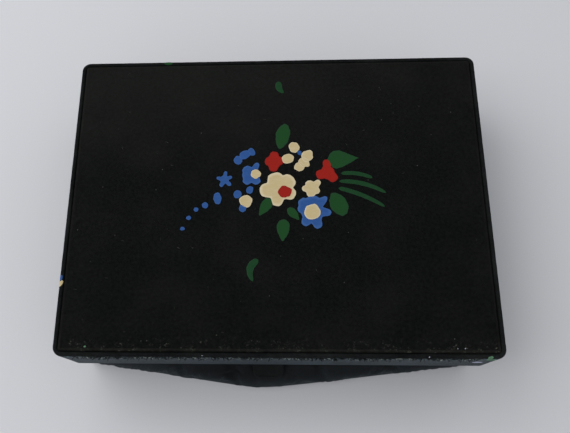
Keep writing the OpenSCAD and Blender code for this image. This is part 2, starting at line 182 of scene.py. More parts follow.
room = bpy.data.worlds.new("room")
room.use_nodes = True
scene.world = room
room_tree = Tree(room.node_tree)
room.node_tree.nodes.clear()
room_light = room_tree.node("ShaderNodeBackground", inputs={"Color": (0.95, 0.97, 1, 1), "Strength": 0.68})
room_seen = room_tree.node("ShaderNodeBackground", inputs={"Color": (0.40, 0.407, 0.423, 1), "Strength": 1})
ray = room_tree.node("ShaderNodeLightPath", out="Is Camera Ray")
mirrored = room_tree.sum("MAXIMUM", ray.also("Is Glossy Ray"), ray.also("Is Transmission Ray"))
seen = room_tree.sum("MAXIMUM", ray, mirrored)
room_mix = room_tree.node("ShaderNodeMixShader", inputs={0: seen, 1: room_light, 2: room_seen})
room_tree.node("ShaderNodeOutputWorld", inputs={"Surface": room_mix})

for name, place, wide, power in (("left_window", (-0.7, 0.1, 0.9), 1.1, 5.8),
                                 ("back_window", (-0.35, 0.62, 0.9), 0.6, 1.0)):
    window = stand(name, bpy.data.lights.new(name, "AREA"))
    window.data.shape = "RECTANGLE"
    window.data.size, window.data.size_y = wide, 0.8 * wide
    window.data.energy = power
    aim = Vector(place).to_track_quat("Z", "Y").to_matrix().to_4x4()
    window.matrix_world = Matrix.Translation(place) @ aim


def ink(red, green, blue):
    """Colour from 0 to 255, as a painter's chart gives it, in the light's own scale."""
    steps = [v / 255 for v in (red, green, blue)]
    return (*[v / 12.92 if v <= 0.04045 else ((v + 0.055) / 1.055) ** 2.4 for v in steps], 1)


table_half = 6
table_corners = ((-1, -1), (1, -1), (1, 1), (-1, 1))
table_mesh = bpy.data.meshes.new("table")
table_mesh.from_pydata([(x * table_half, y * table_half, 0) for x, y in table_corners], [], [(0, 1, 2, 3)])
table_mesh.materials.append(Finish("table_top").surface(
    Base_Color=ink(203, 203, 206), Roughness=0.9, Specular_IOR_Level=0.1))
table = stand("table", table_mesh)


# ---------- Boards of the case and the lid ----------
# Grey-brown millboard, 2 to 2.4 mm thick: base, lid top, and the walls inside their cloth. Only their edges
# show, where the cloth stops.
def dress(material, *names):
    """Gives CAD nodes their finish."""
    for name in names:
        cad[name].data.materials.clear()
        cad[name].data.materials.append(material)


board = Finish("millboard")
board_place = board.place()
board_layers = board.cloud(board.scaled(board_place, (0.3, 0.3, 4)), 1.2)
board_flecks = board.cloud(board_place, 0.5, detail=5)
millboard = board.surface(
    Base_Color=board.mix(board_layers, ink(112, 104, 90), ink(142, 131, 112)),
    Roughness=0.85 + 0.1 * board_flecks,
    Normal=board.bump(board_flecks + board_layers, 0.15),
    Specular_IOR_Level=0.2)
dress(millboard, "base_board", "back_wall", "left_wall", "right_wall", "lid_board")


# ---------- Ribbed cloth ----------
# Black faille covers the box: fine ribs run along each strip of cloth. It has gone dusty and picked up lint.
# The lid's rim is a paler slate blue, partly the cloth's own colour and partly a painted sheen, and it is
# rubbed most along its front.
def faille(name, ground, faded, dust_and_painted_light_colour, rib=0.5, sheen=0.0, wear_and_painted_light=None, haze=0.35):
    """Ribs run along u. Threads vary from ground to faded. Wear is a function that gives the share of rubbed
    threads, dust and painted light from the cloth's place; all of these lighten the cloth towards the dust
    colour."""
    cloth = Finish(name)
    here = cloth.place()
    weave = cloth.place("UV")
    along, across, _ = cloth.axes(weave)
    slub = cloth.cloud(cloth.scaled(weave, (0.12, 1.5, 1)), 0.8)
    ribs = cloth.sum("COSINE", (across + 0.2 * slub) * (math.tau / rib))
    threads = cloth.sum("COSINE", along * (math.tau / (0.45 * rib)))
    fuzz = cloth.cloud(here, 0.35, detail=4, rough=0.7)
    tone = cloth.between(cloth.cloud(here, 1.5, detail=6, rough=0.8), 0.36, 0.66)
    patches = cloth.cloud(here, 28, detail=4)
    crumbs = cloth.node("ShaderNodeTexVoronoi", inputs={"Vector": here, "Scale": 1 / 2.6})
    chance = cloth.axes(crumbs.also(1))[0]
    lint = (1 - cloth.between(crumbs, 0.05, 0.11)) * cloth.between(chance, 0.93, 0.97)
    # Share of dust and lint, plus what the wear function gives. On the front wall and the top panel that
    # share is partly painted light.
    dust_and_painted_light = haze * cloth.between(patches * fuzz, 0.16, 0.42) + 0.8 * lint
    if wear_and_painted_light:
        dust_and_painted_light = dust_and_painted_light + wear_and_painted_light(cloth, here, fuzz)
    dust_and_painted_light = cloth.node("ShaderNodeClamp", inputs={0: dust_and_painted_light})
    relief = ribs * (0.5 + 0.2 * threads) + 0.5 * threads + fuzz
    return cloth.surface(
        Base_Color=cloth.mix(dust_and_painted_light, cloth.mix(tone, ground, faded), dust_and_painted_light_colour),
        Roughness=0.5 + 0.12 * fuzz,
        Normal=cloth.bump(relief, 0.05),
        Specular_IOR_Level=0.06,
        Sheen_Weight=sheen, Sheen_Roughness=0.5, Sheen_Tint=(0.55, 0.68, 0.8, 1))


black_faille = faille("black_faille", ink(5, 7, 7), ink(19, 21, 22), ink(50, 53, 52))


def sew(name, rows, material, close_rows=False, close_columns=False, crisp=50):
    """Closed skin through rows of points in millimetres, each row closed by itself or the whole a ring.
    Open ends are zipped shut. The UV map gives the cloth's own lengths in metres."""
    tall, wide = len(rows), len(rows[0])
    points = [Vector(p) * MM for row in rows for p in row]

    def lengths(run, closed):
        run = run + run[:1] if closed else run
        out = [0.0]
        for a, b in zip(run, run[1:]):
            out.append(out[-1] + (Vector(b) - Vector(a)).length * MM)
        return out

    us = lengths(list(rows[tall // 2]), close_columns)
    vs = lengths([row[wide // 2] for row in rows], close_rows)
    faces, uvs = [], []
    for r in range(tall if close_rows else tall - 1):
        for c in range(wide if close_columns else wide - 1):
            corners = [(r, c), (r, c + 1), (r + 1, c + 1), (r + 1, c)]
            faces.append([(i % tall) * wide + j % wide for i, j in corners])
            uvs.extend((us[j], vs[i]) for i, j in corners)
    if close_columns and not close_rows:
        for first, turned in ((0, 1), ((tall - 1) * wide, -1)):
            for c in range(wide // 2 - 1):
                corners = [first + k for k in (c, wide - 1 - c, wide - 2 - c, c + 1)][::turned]
                faces.append(corners)
                uvs.extend((points[k].x, points[k].z) for k in corners)
    return stitch(name, points, faces, material, uvs, crisp)


def stitch(name, points, faces, material, uvs=None, crisp=50):
    """Object from points in metres, with its faces turned outwards."""
    mesh = bpy.data.meshes.new(name)
    mesh.from_pydata(points, [], faces)
    if uvs:
        layer = mesh.uv_layers.new(name="cloth")
        layer.data.foreach_set("uv", [v for uv in uvs for v in uv])
    shell = bmesh.new()
    shell.from_mesh(mesh)
    if shell.calc_volume(signed=True) < 0:
        bmesh.ops.reverse_faces(shell, faces=shell.faces)
    shell.to_mesh(mesh)
    shell.free()
    return show(name, mesh, material, crisp)


def show(name, mesh, material, crisp=50):
    """Smooth object from a mesh, whose edges stay sharp where they turn by more than crisp degrees."""
    mesh.polygons.foreach_set("use_smooth", [True] * len(mesh.polygons))
    mesh.set_sharp_from_angle(angle=math.radians(crisp))
    mesh.materials.append(material)
    return stand(name, mesh)


# ---------- Front wall of the case ----------
# Millboard padded with wadding, its black cloth drawn over a soft bow that stands out at the foot. The cloth
# puckers where it goes under the lid, and folds over below the base board.
rim_z = 23.0
wall_top = 47.3
board_z = 3.0
belly_z = 6.0
case_x, case_y = 96.6, 71.6
front_t = 3.0
least_pad = 0.9
bow_peak, bow_x, bow_soft = 13.1, -8.0, 0.09
rim_in_y = 72.4
hollow = 1.3
front_gap, front_lean, front_foot, belly_tuck = 2.4, 4.4, 2.3, 0.8


def bow(x):
    flank = abs(x - bow_x) / (case_x + bow_x if x < bow_x else case_x - bow_x)
    return bow_peak * (math.hypot(1, bow_soft) - math.hypot(flank, bow_soft))


def swell(z):
    """Share of the bow at this height: none under the lid, and all of it at the foot."""
    share = min(1, max(0, (rim_z - z) / (rim_z - belly_z)))
    return (1 - math.cos(math.pi * share)) / 2


def front_y(x, z):
    """Outer face of the front wall."""
    lean = front_gap + max(0, z - rim_z) / (wall_top - rim_z) * (front_lean - front_gap)
    tuck = belly_tuck * ((belly_z - max(z, board_z)) / belly_z) ** 2 if z < belly_z else 0
    return -rim_in_y + lean - swell(z) * (front_foot + bow(x)) + tuck


def soft_step(value, low, high):
    share = min(1, max(0, (value - low) / (high - low)))
    return share * share * (3 - 2 * share)


def crease(x, z, start, end, width, depth):
    """Hollow along a line across the front, deepest at its start."""
    a, b = Vector(start), Vector(end)
    run = b - a
    share = min(1, max(0, (Vector((x, z)) - a).dot(run) / run.length_squared))
    gap = (Vector((x, z)) - a - run * share).length
    return depth * math.exp(-(gap / width) ** 2) * (1 - 0.8 * share)


front_folds = [((-26, 21.5), (-17, 6.5), 1.8, 1.5), ((-9.5, 21.5), (-9.5, 7.5), 1.1, 1.1),
               ((16, 21), (25, 8), 2.2, 0.8), ((-54, 21), (-44, 11), 2.6, 0.6),
               ((48, 21), (58, 12), 2.6, 0.5)]


def front_cloth(x, z):
    """Outer face of the padded cloth, with its creases."""
    below = soft_step(z, 1.0, 4.0) * (1 - soft_step(z, rim_z - 2, rim_z + 1))
    ripple = 0.5 * noise.noise(Vector((x / 14, z / 9, 3))) + 0.18 * noise.noise(Vector((x / 3.2, z / 14, 8)))
    dent = sum(crease(x, z, *fold) for fold in front_folds)
    hang = (swell(z) - swell(z) ** hollow) * (front_foot + bow(x)) * soft_step(abs(x - bow_x - 4), 8, 16)
    return front_y(x, z) + below * (dent - 0.6 * ripple) + hang


settle_steps = 20


def settle(columns, held, slack, puff, reach):
    """Lets a grid of cloth with this share of slack find its own folds over the wadding. Held points stay,
    and reach gives how far a point may move, in millimetres. The sheet settles at ten times its size."""
    grown = 10 * MM
    tall, wide = len(columns[0]), len(columns)
    mesh = bpy.data.meshes.new("settling")
    mesh.from_pydata([Vector(p) * grown for column in columns for p in column], [],
                     [(c * tall + r, (c + 1) * tall + r, (c + 1) * tall + r + 1, c * tall + r + 1)
                      for c in range(wide - 1) for r in range(tall - 1)])
    sheet = stand("settling", mesh)
    pins = sheet.vertex_groups.new(name="held")
    pinned = [c * tall + r for c in range(wide) for r in range(tall) if held(*columns[c][r])]
    pins.add(pinned, 1.0, "REPLACE")
    run = sheet.modifiers.new("settling", "CLOTH")
    cloth = run.settings
    cloth.quality, cloth.mass, cloth.air_damping = 8, 0.3, 5
    cloth.tension_stiffness, cloth.compression_stiffness, cloth.shear_stiffness = 15, 15, 5
    cloth.bending_stiffness = 0.3
    cloth.vertex_group_mass = "held"
    cloth.shrink_min = -slack
    cloth.use_pressure = True
    cloth.uniform_pressure_force = puff
    cloth.effector_weights.gravity = 0
    run.collision_settings.use_collision = False
    for step in range(1, settle_steps + 1):
        scene.frame_set(step)
    found = sheet.evaluated_get(bpy.context.evaluated_depsgraph_get()).data.vertices
    settled = []
    for c, column in enumerate(columns):
        moved = []
        for r, start in enumerate(column):
            move = found[c * tall + r].co / grown - Vector(start)
            limit = reach(*start)
            moved.append(Vector(start) + move * min(1, limit / max(move.length, 1e-6)))
        settled.append(moved)
    bpy.data.objects.remove(sheet)
    scene.frame_set(1)
    return settled


tab_left, tab_right = -12.5, 4.5


def front_held(x, y, z):
    """The cloth is glued under the lid, below the base and at both ends, and caught along its folds."""
    caught = any(crease(x, z, start, end, width * 0.35, 1) > 0.5 for start, end, width, _ in front_folds)
    return z < 6.5 or z > rim_z or abs(x) > case_x - 1.5 or caught


def front_reach(x, y, z):
    """The tab and its press stud keep the cloth flat in the middle."""
    return 0.35 if tab_left < x < tab_right and z > 8 else 0.9


def evenly(low, high, count):
    """Places from low to high, with this many equal steps between them."""
    return [low + (high - low) * k / count for k in range(count + 1)]


skirt_z = 0.3
cloth_t = 0.6
front_zs = evenly(skirt_z, board_z, 4) + evenly(3.4, 22.8, 30) + evenly(23.6, 46.6, 8)
front_xs = evenly(-case_x, case_x, 160)
wall_inner_zs = (46.6, 38, 30, 23, 18, 14, 10, 6.5, 3.2)
front_columns = [[Vector((x, front_cloth(x, z), z)) for z in front_zs] for x in front_xs]
front_columns = settle(front_columns, front_held, slack=0.05, puff=3, reach=front_reach)
front_wall_rows = []
for x, outer in zip(front_xs, front_columns):
    outer = [(x, min(y, front_y(x, z) + front_t - least_pad), z) for x, y, z in outer]
    top = [(x, front_y(x, wall_top) + front_t * k, wall_top - 0.35 * (1 - math.sin(math.pi * k)) ** 2)
           for k in (0.12, 0.5, 0.88)]
    inner = [(x, front_y(x, z) + front_t, z) for z in wall_inner_zs]
    skirt = [(x, front_y(x, board_z) + cloth_t - 0.05, z) for z in (2.95, 1.5, skirt_z)]
    front_wall_rows.append(outer + top + inner + skirt)


def front_dust_and_painted_light(cloth, here, fuzz):
    """Painted light with some dust: the cloth is lighter on the bulge above the foot and over the left of
    the wall, where the light falls on them.
    """
    x, _, z = cloth.axes(here)
    return (0.6 * (1 - cloth.between(z, 5, 13)) + 0.2 * (1 - cloth.between(x, -55, -28))) * fuzz


def mount(piece, body, node=None):
    """Fixes a piece to its body, in place of the CAD node that it dresses."""
    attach(piece, body)
    if node:
        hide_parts(node)


front_faille = faille("front_faille", ink(5, 6, 7), ink(15, 17, 19), ink(62, 68, 71),
                      sheen=0.08, wear_and_painted_light=front_dust_and_painted_light, haze=0.12)
front_wall_cloth = sew("front_wall_cloth", front_wall_rows, front_faille, close_columns=True, crisp=60)
mount(front_wall_cloth, "case", "front_wall")


# ---------- Cloth round the case ----------
# One strip of black faille glued round the sides and back over the millboard, and turned over its top edge.
# It laps the base board below. The strip stops where the padded front begins.
def corner_walk(half_x, half_y, radius, step=2.0, turns=8):
    """Points and outward directions round a rectangle with round corners, anticlockwise from the right."""
    walk = []
    for k in range(4):
        a = math.pi / 2 * k
        sx, sy = ((1, 1), (-1, 1), (-1, -1), (1, -1))[k]
        cx, cy = sx * (half_x - radius), sy * (half_y - radius)
        for i in range(turns + 1):
            out = Vector((math.cos(a + math.pi / 2 * i / turns), math.sin(a + math.pi / 2 * i / turns)))
            walk.append((Vector((cx, cy)) + radius * out, out))
        length = 2 * ((half_x if k % 2 == 0 else half_y) - radius)
        along = Vector((-math.sin(a + math.pi / 2), math.cos(a + math.pi / 2)))
        start, out = walk[-1]
        count = int(length / step)
        walk.extend((start + along * length * i / count, out.copy()) for i in range(1, count))
    return walk


def edge_row(walk, inset, z, slack=None):
    """Row of points along a walk, set in from it. Slack gives how far the cloth there stands out."""
    row, s = [], 0.0
    for k, (at, out) in enumerate(walk):
        s += (at - walk[k - 1][0]).length if k else 0
        place = at - out * (inset - (slack(s, z) if slack else 0))
        row.append((place.x, place.y, z))
    return row


def band(name, walk, profile, material, slack):
    """Closed ring of cloth. The profile gives inset, height, and whether that is its slack outer face."""
    rows = [edge_row(walk, inset, z, slack if face else None) for inset, z, face in profile]
    return sew(name, rows, material, close_rows=True, close_columns=True)


case_inner = 3.2
case_hem = 0.9
case_r = 3.0
turned_over = [(0.12, 47.0), (0.5, 47.28), (2.7, 47.28), (3.1, 47.1), (case_inner, 46.75), (2.6, 46.7),
               (cloth_t, 46.7)]
case_edge = [(0.0, z) for z in evenly(case_hem, 46.5, 24)] + turned_over \
    + [(cloth_t, z) for z in (40, 30, 20, 10, case_hem)] + [(cloth_t / 2, 0.62)]
case_walk = [(at, out) for at, out in corner_walk(case_x, case_y, case_r) if at.y > -60]
square_on = 0.999
right_side = sorted([p for p in case_walk if p[1].x > square_on], key=lambda p: p[0].y)
back_side = sorted([p for p in case_walk if abs(p[1].x) <= square_on and p[0].y > 0], key=lambda p: -p[0].x)
left_side = sorted([p for p in case_walk if p[1].x < -square_on], key=lambda p: -p[0].y)


def case_run(z):
    """Walk round three sides, its two ends cut back to the padded front at this height."""
    first = front_y(case_x, z) + front_t + 0.1
    ends = []
    for side in (right_side, left_side):
        top, low = max(p[0].y for p in side), min(p[0].y for p in side)
        stretch = (top - first) / (top - low)
        ends.append([(Vector((at.x, first + (at.y - low) * stretch)), out) for at, out in side])
    return ends[0] + back_side + ends[1]


def case_slack(s, z):
    return min(0, 0.08 * noise.noise(Vector((s / 9, z / 16, 2))))


case_rows = [edge_row(case_run(z), inset, z, case_slack if inset == 0 and 2 < z < 46 else None)
             for inset, z in case_edge]
case_cloth = sew("case_cloth", [list(c) for c in zip(*case_rows)], black_faille, close_columns=True)
mount(case_cloth, "case", "case_cover")


# ---------- Foot of the case ----------
# The underside is one sheet of black felt paper, and the hinges stand off on a cloth-covered batten.
felt = Finish("black_felt")
felt_place = felt.place()
felt_fibre = felt.cloud(felt.scaled(felt_place, (1, 0.35, 1)), 0.6, detail=6, rough=0.75)
black_felt = felt.surface(
    Base_Color=felt.mix(felt_fibre, ink(13, 13, 14), ink(48, 47, 48)),
    Roughness=0.9 + 0.08 * felt_fibre,
    Normal=felt.bump(felt_fibre, 0.2),
    Specular_IOR_Level=0.1)
dress(black_felt, "base_cover")


def slabs(name, pieces, round_by, material):
    """Boards with softened edges. Each piece is an outline in millimetres and the way it is thick."""
    mesh = bpy.data.meshes.new(name)
    body = bmesh.new()
    uv = body.loops.layers.uv.new("cloth")
    for outline, thick in pieces:
        low = [body.verts.new(Vector(p) * MM) for p in outline]
        high = [body.verts.new((Vector(p) + Vector(thick)) * MM) for p in outline]
        new = [body.faces.new(low[::-1]), body.faces.new(high)]
        new += [body.faces.new((low[k - 1], low[k], high[k], high[k - 1])) for k in range(len(low))]
        edges = list(dict.fromkeys(e for f in new for e in f.edges))
        bmesh.ops.bevel(body, geom=edges, offset=round_by * MM, segments=3, affect="EDGES", profile=0.6)
    bmesh.ops.recalc_face_normals(body, faces=body.faces)
    for face in body.faces:
        n = face.normal
        for loop in face.loops:
            x, y, z = loop.vert.co
            loop[uv].uv = (y, z) if abs(n.x) > 0.7 else (x, z) if abs(n.y) > 0.7 else (x, y)
    body.to_mesh(mesh)
    body.free()
    return show(name, mesh, material)


def box_slab(low, high):
    """Outline and thickness of a box from one corner to the other."""
    (x0, y0, z0), (x1, y1, z1) = low, high
    return [(x0, y0, z0), (x1, y0, z0), (x1, y1, z0), (x0, y1, z0)], (0, 0, z1 - z0)


batten = box_slab((-case_x, case_y, cloth_t), (case_x, 74.95, 22.65))
back_batten = slabs("back_batten", [batten], 0.7, black_faille)
mount(back_batten, "case", "back_rail")


# ---------- Lining of the walls ----------
# Dark red velvet glued to the inside of the walls and up to their top edge. Its pile lies in patches, and is
# lighter where it was brushed the other way.
pile = Finish("red_velvet")
pile_place = pile.place()
pile_lay = pile.cloud(pile.scaled(pile_place, (1, 0.6, 1)), 16, detail=2)
pile_tuft = pile.cloud(pile_place, 0.45, detail=3, rough=0.7)
pile_brushed = pile.between(pile_lay, 0.36, 0.68)
red_velvet = pile.surface(
    Base_Color=pile.mix(0.5 * pile_tuft + 0.4 * pile_brushed, ink(88, 10, 20), ink(132, 24, 35)),
    Roughness=0.75 + 0.2 * pile_tuft,
    Normal=pile.bump(pile_tuft + 0.3 * pile_lay, 0.2),
    Specular_IOR_Level=0.15,
    Sheen_Weight=0.45, Sheen_Roughness=0.35, Sheen_Tint=(1, 0.45, 0.5, 1))
dress(red_velvet, "wall_lining")
front_wall_cloth.data.materials.append(red_velvet)
for face in front_wall_cloth.data.polygons:
    x, y, z = face.center / MM
    if board_z + 0.3 < z < wall_top - 0.6 and y > front_y(x, z) + 0.8 * front_t:
        face.material_index = 1


# ---------- Floor pad ----------
# A thin wadded pad in the red velvet, which covers the base board. It is crowned between the dividers, and
# held down along them and along the walls.
def pad(name, xs, ys, skin, under, material):
    """Closed pad: skin(x, y) gives the point of its soft face, and under the height of its flat back."""
    tall, wide = len(ys), len(xs)
    soft = [Vector(skin(x, y)) for y in ys for x in xs]
    points = [p * MM for p in soft] + [Vector((p.x, p.y, under)) * MM for p in soft]
    back = len(soft)
    faces = []
    for r in range(tall - 1):
        for c in range(wide - 1):
            k = r * wide + c
            faces.append((k, k + 1, k + wide + 1, k + wide))
            faces.append((back + k, back + k + wide, back + k + wide + 1, back + k + 1))
    rim = list(range(wide)) + [r * wide + wide - 1 for r in range(1, tall)]
    rim += [(tall - 1) * wide + c for c in reversed(range(wide - 1))]
    rim += [r * wide for r in reversed(range(1, tall - 1))]
    for a, b in zip(rim, rim[1:] + rim[:1]):
        faces.append((b, a, back + a, back + b))
    uvs = [(points[k].x, points[k].y) for face in faces for k in face]
    return stitch(name, points, faces, material, uvs)


def spread(low, high, step, edge=(0.0, 0.25, 0.6, 1.1, 1.8, 2.6, 3.6)):
    """Stations from low to high, close together at both ends."""
    count = max(2, int((high - low - 2 * edge[-1]) / step))
    middle = [low + edge[-1] + (high - low - 2 * edge[-1]) * k / count for k in range(1, count)]
    return [low + e for e in edge] + middle + [high - e for e in reversed(edge)]


inner_x, inner_y = 93.4, 68.4
cell_x = 31.0
floor_z = 4.6
divider_t = 1.8
divider_top = 24.6
floor_side, floor_back = inner_x + 0.5, inner_y + 0.5


def crown(gap, reach):
    """Rise of a wadded pad at this distance from where it is held down."""
    return 1 - math.exp(-max(0, gap) / reach)


def floor_skin(x, y):
    front = front_y(x, board_z) + front_t + 0.1
    y = front + (y + floor_back) / (2 * floor_back) * (floor_back - front)
    held = min(abs(abs(x) - cell_x) - divider_t / 2, abs(y) - divider_t / 2)
    wall = min(floor_side - abs(x), floor_back - y, y - front)
    edge = max(0, 1 - (1 - min(1, wall / 1.2)) ** 2)
    uneven = 1 + 0.25 * noise.noise(Vector((x / 15, y / 15, 5)))
    puff = 0.55 * crown(held, 4) * crown(wall - 1.2, 5) * uneven
    return x, y, board_z + 0.9 + 0.65 * math.sqrt(edge) + puff


floor_step = 2.4
floor_velvet = pad("floor_velvet", spread(-floor_side, floor_side, floor_step),
                   spread(-floor_back, floor_back, floor_step), floor_skin, board_z + 0.03, red_velvet)
mount(floor_velvet, "case", "floor_pad")


# ---------- Dividers ----------
# Card dividers covered in the red velvet: one along the box, and four across it, two in front and two
# behind. The front ones follow the lean of the padded wall.
divider_pieces = []
for x in (-cell_x, cell_x):
    divider_pieces.append(box_slab((x - divider_t / 2, divider_t / 2 - 0.3, floor_z),
                                   (x + divider_t / 2, inner_y - 0.1, divider_top)))
    levels = evenly(floor_z, divider_top, 8)
    slack = max(front_y(x + s * divider_t / 2, belly_z) for s in (-1, 1)) - front_y(x, belly_z) + 0.15
    edge = [(x - divider_t / 2, front_y(x, z) + front_t + slack, z) for z in levels]
    divider_pieces.append(([(x - divider_t / 2, -divider_t / 2 + 0.3, floor_z)] + edge
                           + [(x - divider_t / 2, -divider_t / 2 + 0.3, divider_top)], (divider_t, 0, 0)))
long_piece = box_slab((-inner_x + 0.1, -divider_t / 2, floor_z), (inner_x - 0.1, divider_t / 2, divider_top))
for name, node, pieces in (("long_divider_velvet", "long_divider", [long_piece]),
                           ("cross_divider_velvet", "cross_dividers", divider_pieces)):
    dividers = slabs(name, pieces, 0.55, red_velvet)
    mount(dividers, "case", node)


# ---------- Ledges for the tray ----------
# Two strips covered in the red velvet and glued to the side walls. The tray rests on them while the box is
# shut.
ledge_low, ledge_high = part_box("tray_ledges")
ledge_w = 4.0
ledge_pieces = []
for side in (-1, 1):
    near, far = sorted((side * (inner_x - ledge_w), side * inner_x))
    ledge_pieces.append(box_slab((near, ledge_low[1] / MM, ledge_low[2] / MM),
                                 (far, ledge_high[1] / MM, ledge_high[2] / MM)))
ledges = slabs("ledge_velvet", ledge_pieces, 0.6, red_velvet)
mount(ledges, "case", "tray_ledges")


# ---------- Brass ----------
# Two stamped brass butt hinges with their pins and round-headed rivets, and the press stud of the tab. The
# metal has gone brown in its hollows and is rubbed bright on its edges.
metal = Finish("aged_brass")
metal_place = metal.place()
tarnish = 0.6 * metal.between(metal.cloud(metal_place, 0.9, detail=6, rough=0.7), 0.42, 0.72)
rubs = metal.cloud(metal.scaled(metal_place, (0.25, 3, 3)), 0.5, detail=4)
aged_brass = metal.surface(
    Base_Color=metal.mix(tarnish, ink(196, 160, 88), ink(112, 82, 45)),
    Metallic=1.0,
    Roughness=0.26 + 0.3 * tarnish + 0.08 * rubs,
    Normal=metal.bump(rubs + tarnish, 0.02))
dress(aged_brass, "left_hinge_lower_leaf", "right_hinge_lower_leaf", "left_hinge_upper_leaf",
      "right_hinge_upper_leaf", "hinge_pins", "lower_rivets", "upper_rivets", "snap_stud", "snap_socket")


# ---------- Rim of the lid ----------
# Four millboard strips under a band of cloth that is turned in below them. The band is a slate blue, paler
# than the black cloth: partly its own colour and partly a painted sheen.
# Its top edge, along the front, is rubbed through to pale threads.
def rim_wear(cloth, here, fuzz):
    x, y, z = cloth.axes(here)
    top_edge = cloth.between(z, 47.5, 51)
    low_edge = 1 - cloth.between(z, 23, 24.5)
    front = 1 - cloth.between(y, -75, -70)
    broken = cloth.between(cloth.cloud(here, 1.8, detail=6, rough=0.85), 0.47, 0.6)
    return (0.9 * top_edge * front + 0.35 * low_edge + 0.12) * broken


# Slate ground colours: the cloth's own tint with a painted sheen, which makes the whole rim paler.
slate_faille = faille("slate_faille", ink(24, 30, 34), ink(38, 45, 50), ink(112, 134, 142),
                      sheen=0.08, wear_and_painted_light=rim_wear, haze=0.15)
lid_x, lid_y, lid_r = 100.0, 75.0, 4.2
deck_top = 51.0
rim_t = 2.6


def rim_swell(s, z):
    hang = math.sin(math.pi * min(1, max(0, (z - rim_z) / (deck_top - rim_z))))
    return hang * (0.06 * noise.noise(Vector((s / 11, z / 20, 1))) - 0.05)


rim_hem = [(0.08, 23.3), (0.3, 23.06), (0.7, 23.0), (2.2, 23.0), (2.5, 23.08), (rim_t, 23.3), (2.5, 23.55),
           (0.75, 23.6), (cloth_t, 24.0)] + [(cloth_t, z) for z in (30, 37, 44, deck_top)]
rim_profile = [(0, z, True) for z in evenly(deck_top, 23.7, 18)]
rim_profile += [(inset, z, False) for inset, z in rim_hem]
rim_cloth = band("rim_cloth", corner_walk(lid_x, lid_y, lid_r), rim_profile, slate_faille, rim_swell)
mount(rim_cloth, "lid", "rim_cover")


# ---------- Boards of the rim ----------
# Four strips of millboard inside the rim's cloth, butted at the corners. They are papered black on the
# inside, where the open lid shows them.
paper = Finish("black_paper")
paper_place = paper.place()
paper_grain = paper.cloud(paper_place, 0.7, detail=5)
black_paper = paper.surface(
    Base_Color=paper.mix(paper_grain, ink(18, 18, 19), ink(34, 34, 35)),
    Roughness=0.7 + 0.2 * paper_grain,
    Normal=paper.bump(paper_grain, 0.06),
    Specular_IOR_Level=0.2)
dress(black_paper, "rim_front", "rim_back", "rim_left", "rim_right")


# ---------- Top panel of the lid ----------
# A thin wadded panel in black faille, let in behind the piping. Its cloth is drawn down at the edge, so that
# a dark seam runs all round. Dust and rubbed threads gather along the front, and a painted highlight
# lightens the cloth towards the back left.
panel_x, panel_y, panel_r = 97.75, 72.75, 1.6


def panel_gap(x, y):
    """Distance inside the panel's edge."""
    dx, dy = abs(x) - (panel_x - panel_r), abs(y) - (panel_y - panel_r)
    if dx > 0 and dy > 0:
        return panel_r - math.hypot(dx, dy)
    return min(panel_x - abs(x), panel_y - abs(y))


def panel_z(x, y):
    gap = max(0, panel_gap(x, y))
    edge = math.sqrt(1 - (1 - min(1, gap / 1.3)) ** 2)
    soft = 0.1 * noise.noise(Vector((x / 30, y / 30, 9))) * soft_step(gap, 2, 20)
    return deck_top + 1.3 + 1.05 * edge + 0.55 * soft_step(gap, 0, 14) + soft


def panel_skin(x, y):
    """Takes the square grid's corners onto the round ones."""
    dx, dy = (abs(x) - (panel_x - panel_r)) / panel_r, (abs(y) - (panel_y - panel_r)) / panel_r
    if dx > 0 and dy > 0:
        x = math.copysign(panel_x - panel_r + panel_r * dx * math.sqrt(1 - dy * dy / 2), x)
        y = math.copysign(panel_y - panel_r + panel_r * dy * math.sqrt(1 - dx * dx / 2), y)
    return x, y, panel_z(x, y)


def panel_wear_and_painted_gloss(cloth, here, fuzz):
    """Grey rubbed line along the edge, scuffs near the front, and a painted highlight that lightens the
    cloth towards the back and the left.
    """
    x, y, _ = cloth.axes(here)
    # Painted highlight: the cloth is lightened towards the back and the left, where the window's gloss lies.
    painted_gloss = 0.045 * cloth.between(y, -5, 70) * (1 - 0.7 * cloth.between(x, -50, 100))
    front = 1 - cloth.between(y, -72.6, -65)
    fine = cloth.cloud(here, 1.3, detail=7, rough=0.85)
    blots = cloth.cloud(here, 6, detail=3)
    scuffs = cloth.between(fine, 0.55, 0.64) * cloth.between(blots, 0.46, 0.58) * front
    side, end = (cloth.sum("ABSOLUTE", at) - (half - 1.2) for at, half in ((x, panel_x), (y, panel_y)))
    edge = cloth.between(cloth.sum("MAXIMUM", side, end), -0.5, 0.2)
    return 0.85 * scuffs + (0.05 + 0.09 * front) * edge * blots + painted_gloss


panel_faille = faille("panel_faille", ink(2, 3, 3), ink(13, 15, 14), ink(92, 94, 84),
                      wear_and_painted_light=panel_wear_and_painted_gloss, haze=0.03)
panel_cloth = pad("panel_cloth", spread(-panel_x, panel_x, 2.0), spread(-panel_y, panel_y, 2.0),
                  panel_skin, deck_top + 0.02, panel_faille)
mount(panel_cloth, "lid", "lid_panel")


# ---------- Piping ----------
# A thin cord in a bias strip of the black cloth, sewn all round between the top panel and the rim.
piping_r = 1.1
piping_sides = 14
piping_walk = corner_walk(lid_x - piping_r, lid_y - piping_r, lid_r - piping_r, step=1.5, turns=6)
piping_rows = []
for k, (at, out) in enumerate(piping_walk):
    row = []
    for i in range(piping_sides):
        a = math.tau * i / piping_sides
        r = piping_r * (1 + 0.05 * noise.noise(Vector((at.x / 2.5, at.y / 2.5, i / 5)))) - 0.04
        place = at + out * r * math.cos(a)
        row.append((place.x, place.y, deck_top + piping_r + r * math.sin(a)))
    piping_rows.append(row)
piping_cord = sew("piping_cord", piping_rows, black_faille, close_rows=True, close_columns=True)
mount(piping_cord, "lid", "lid_piping")


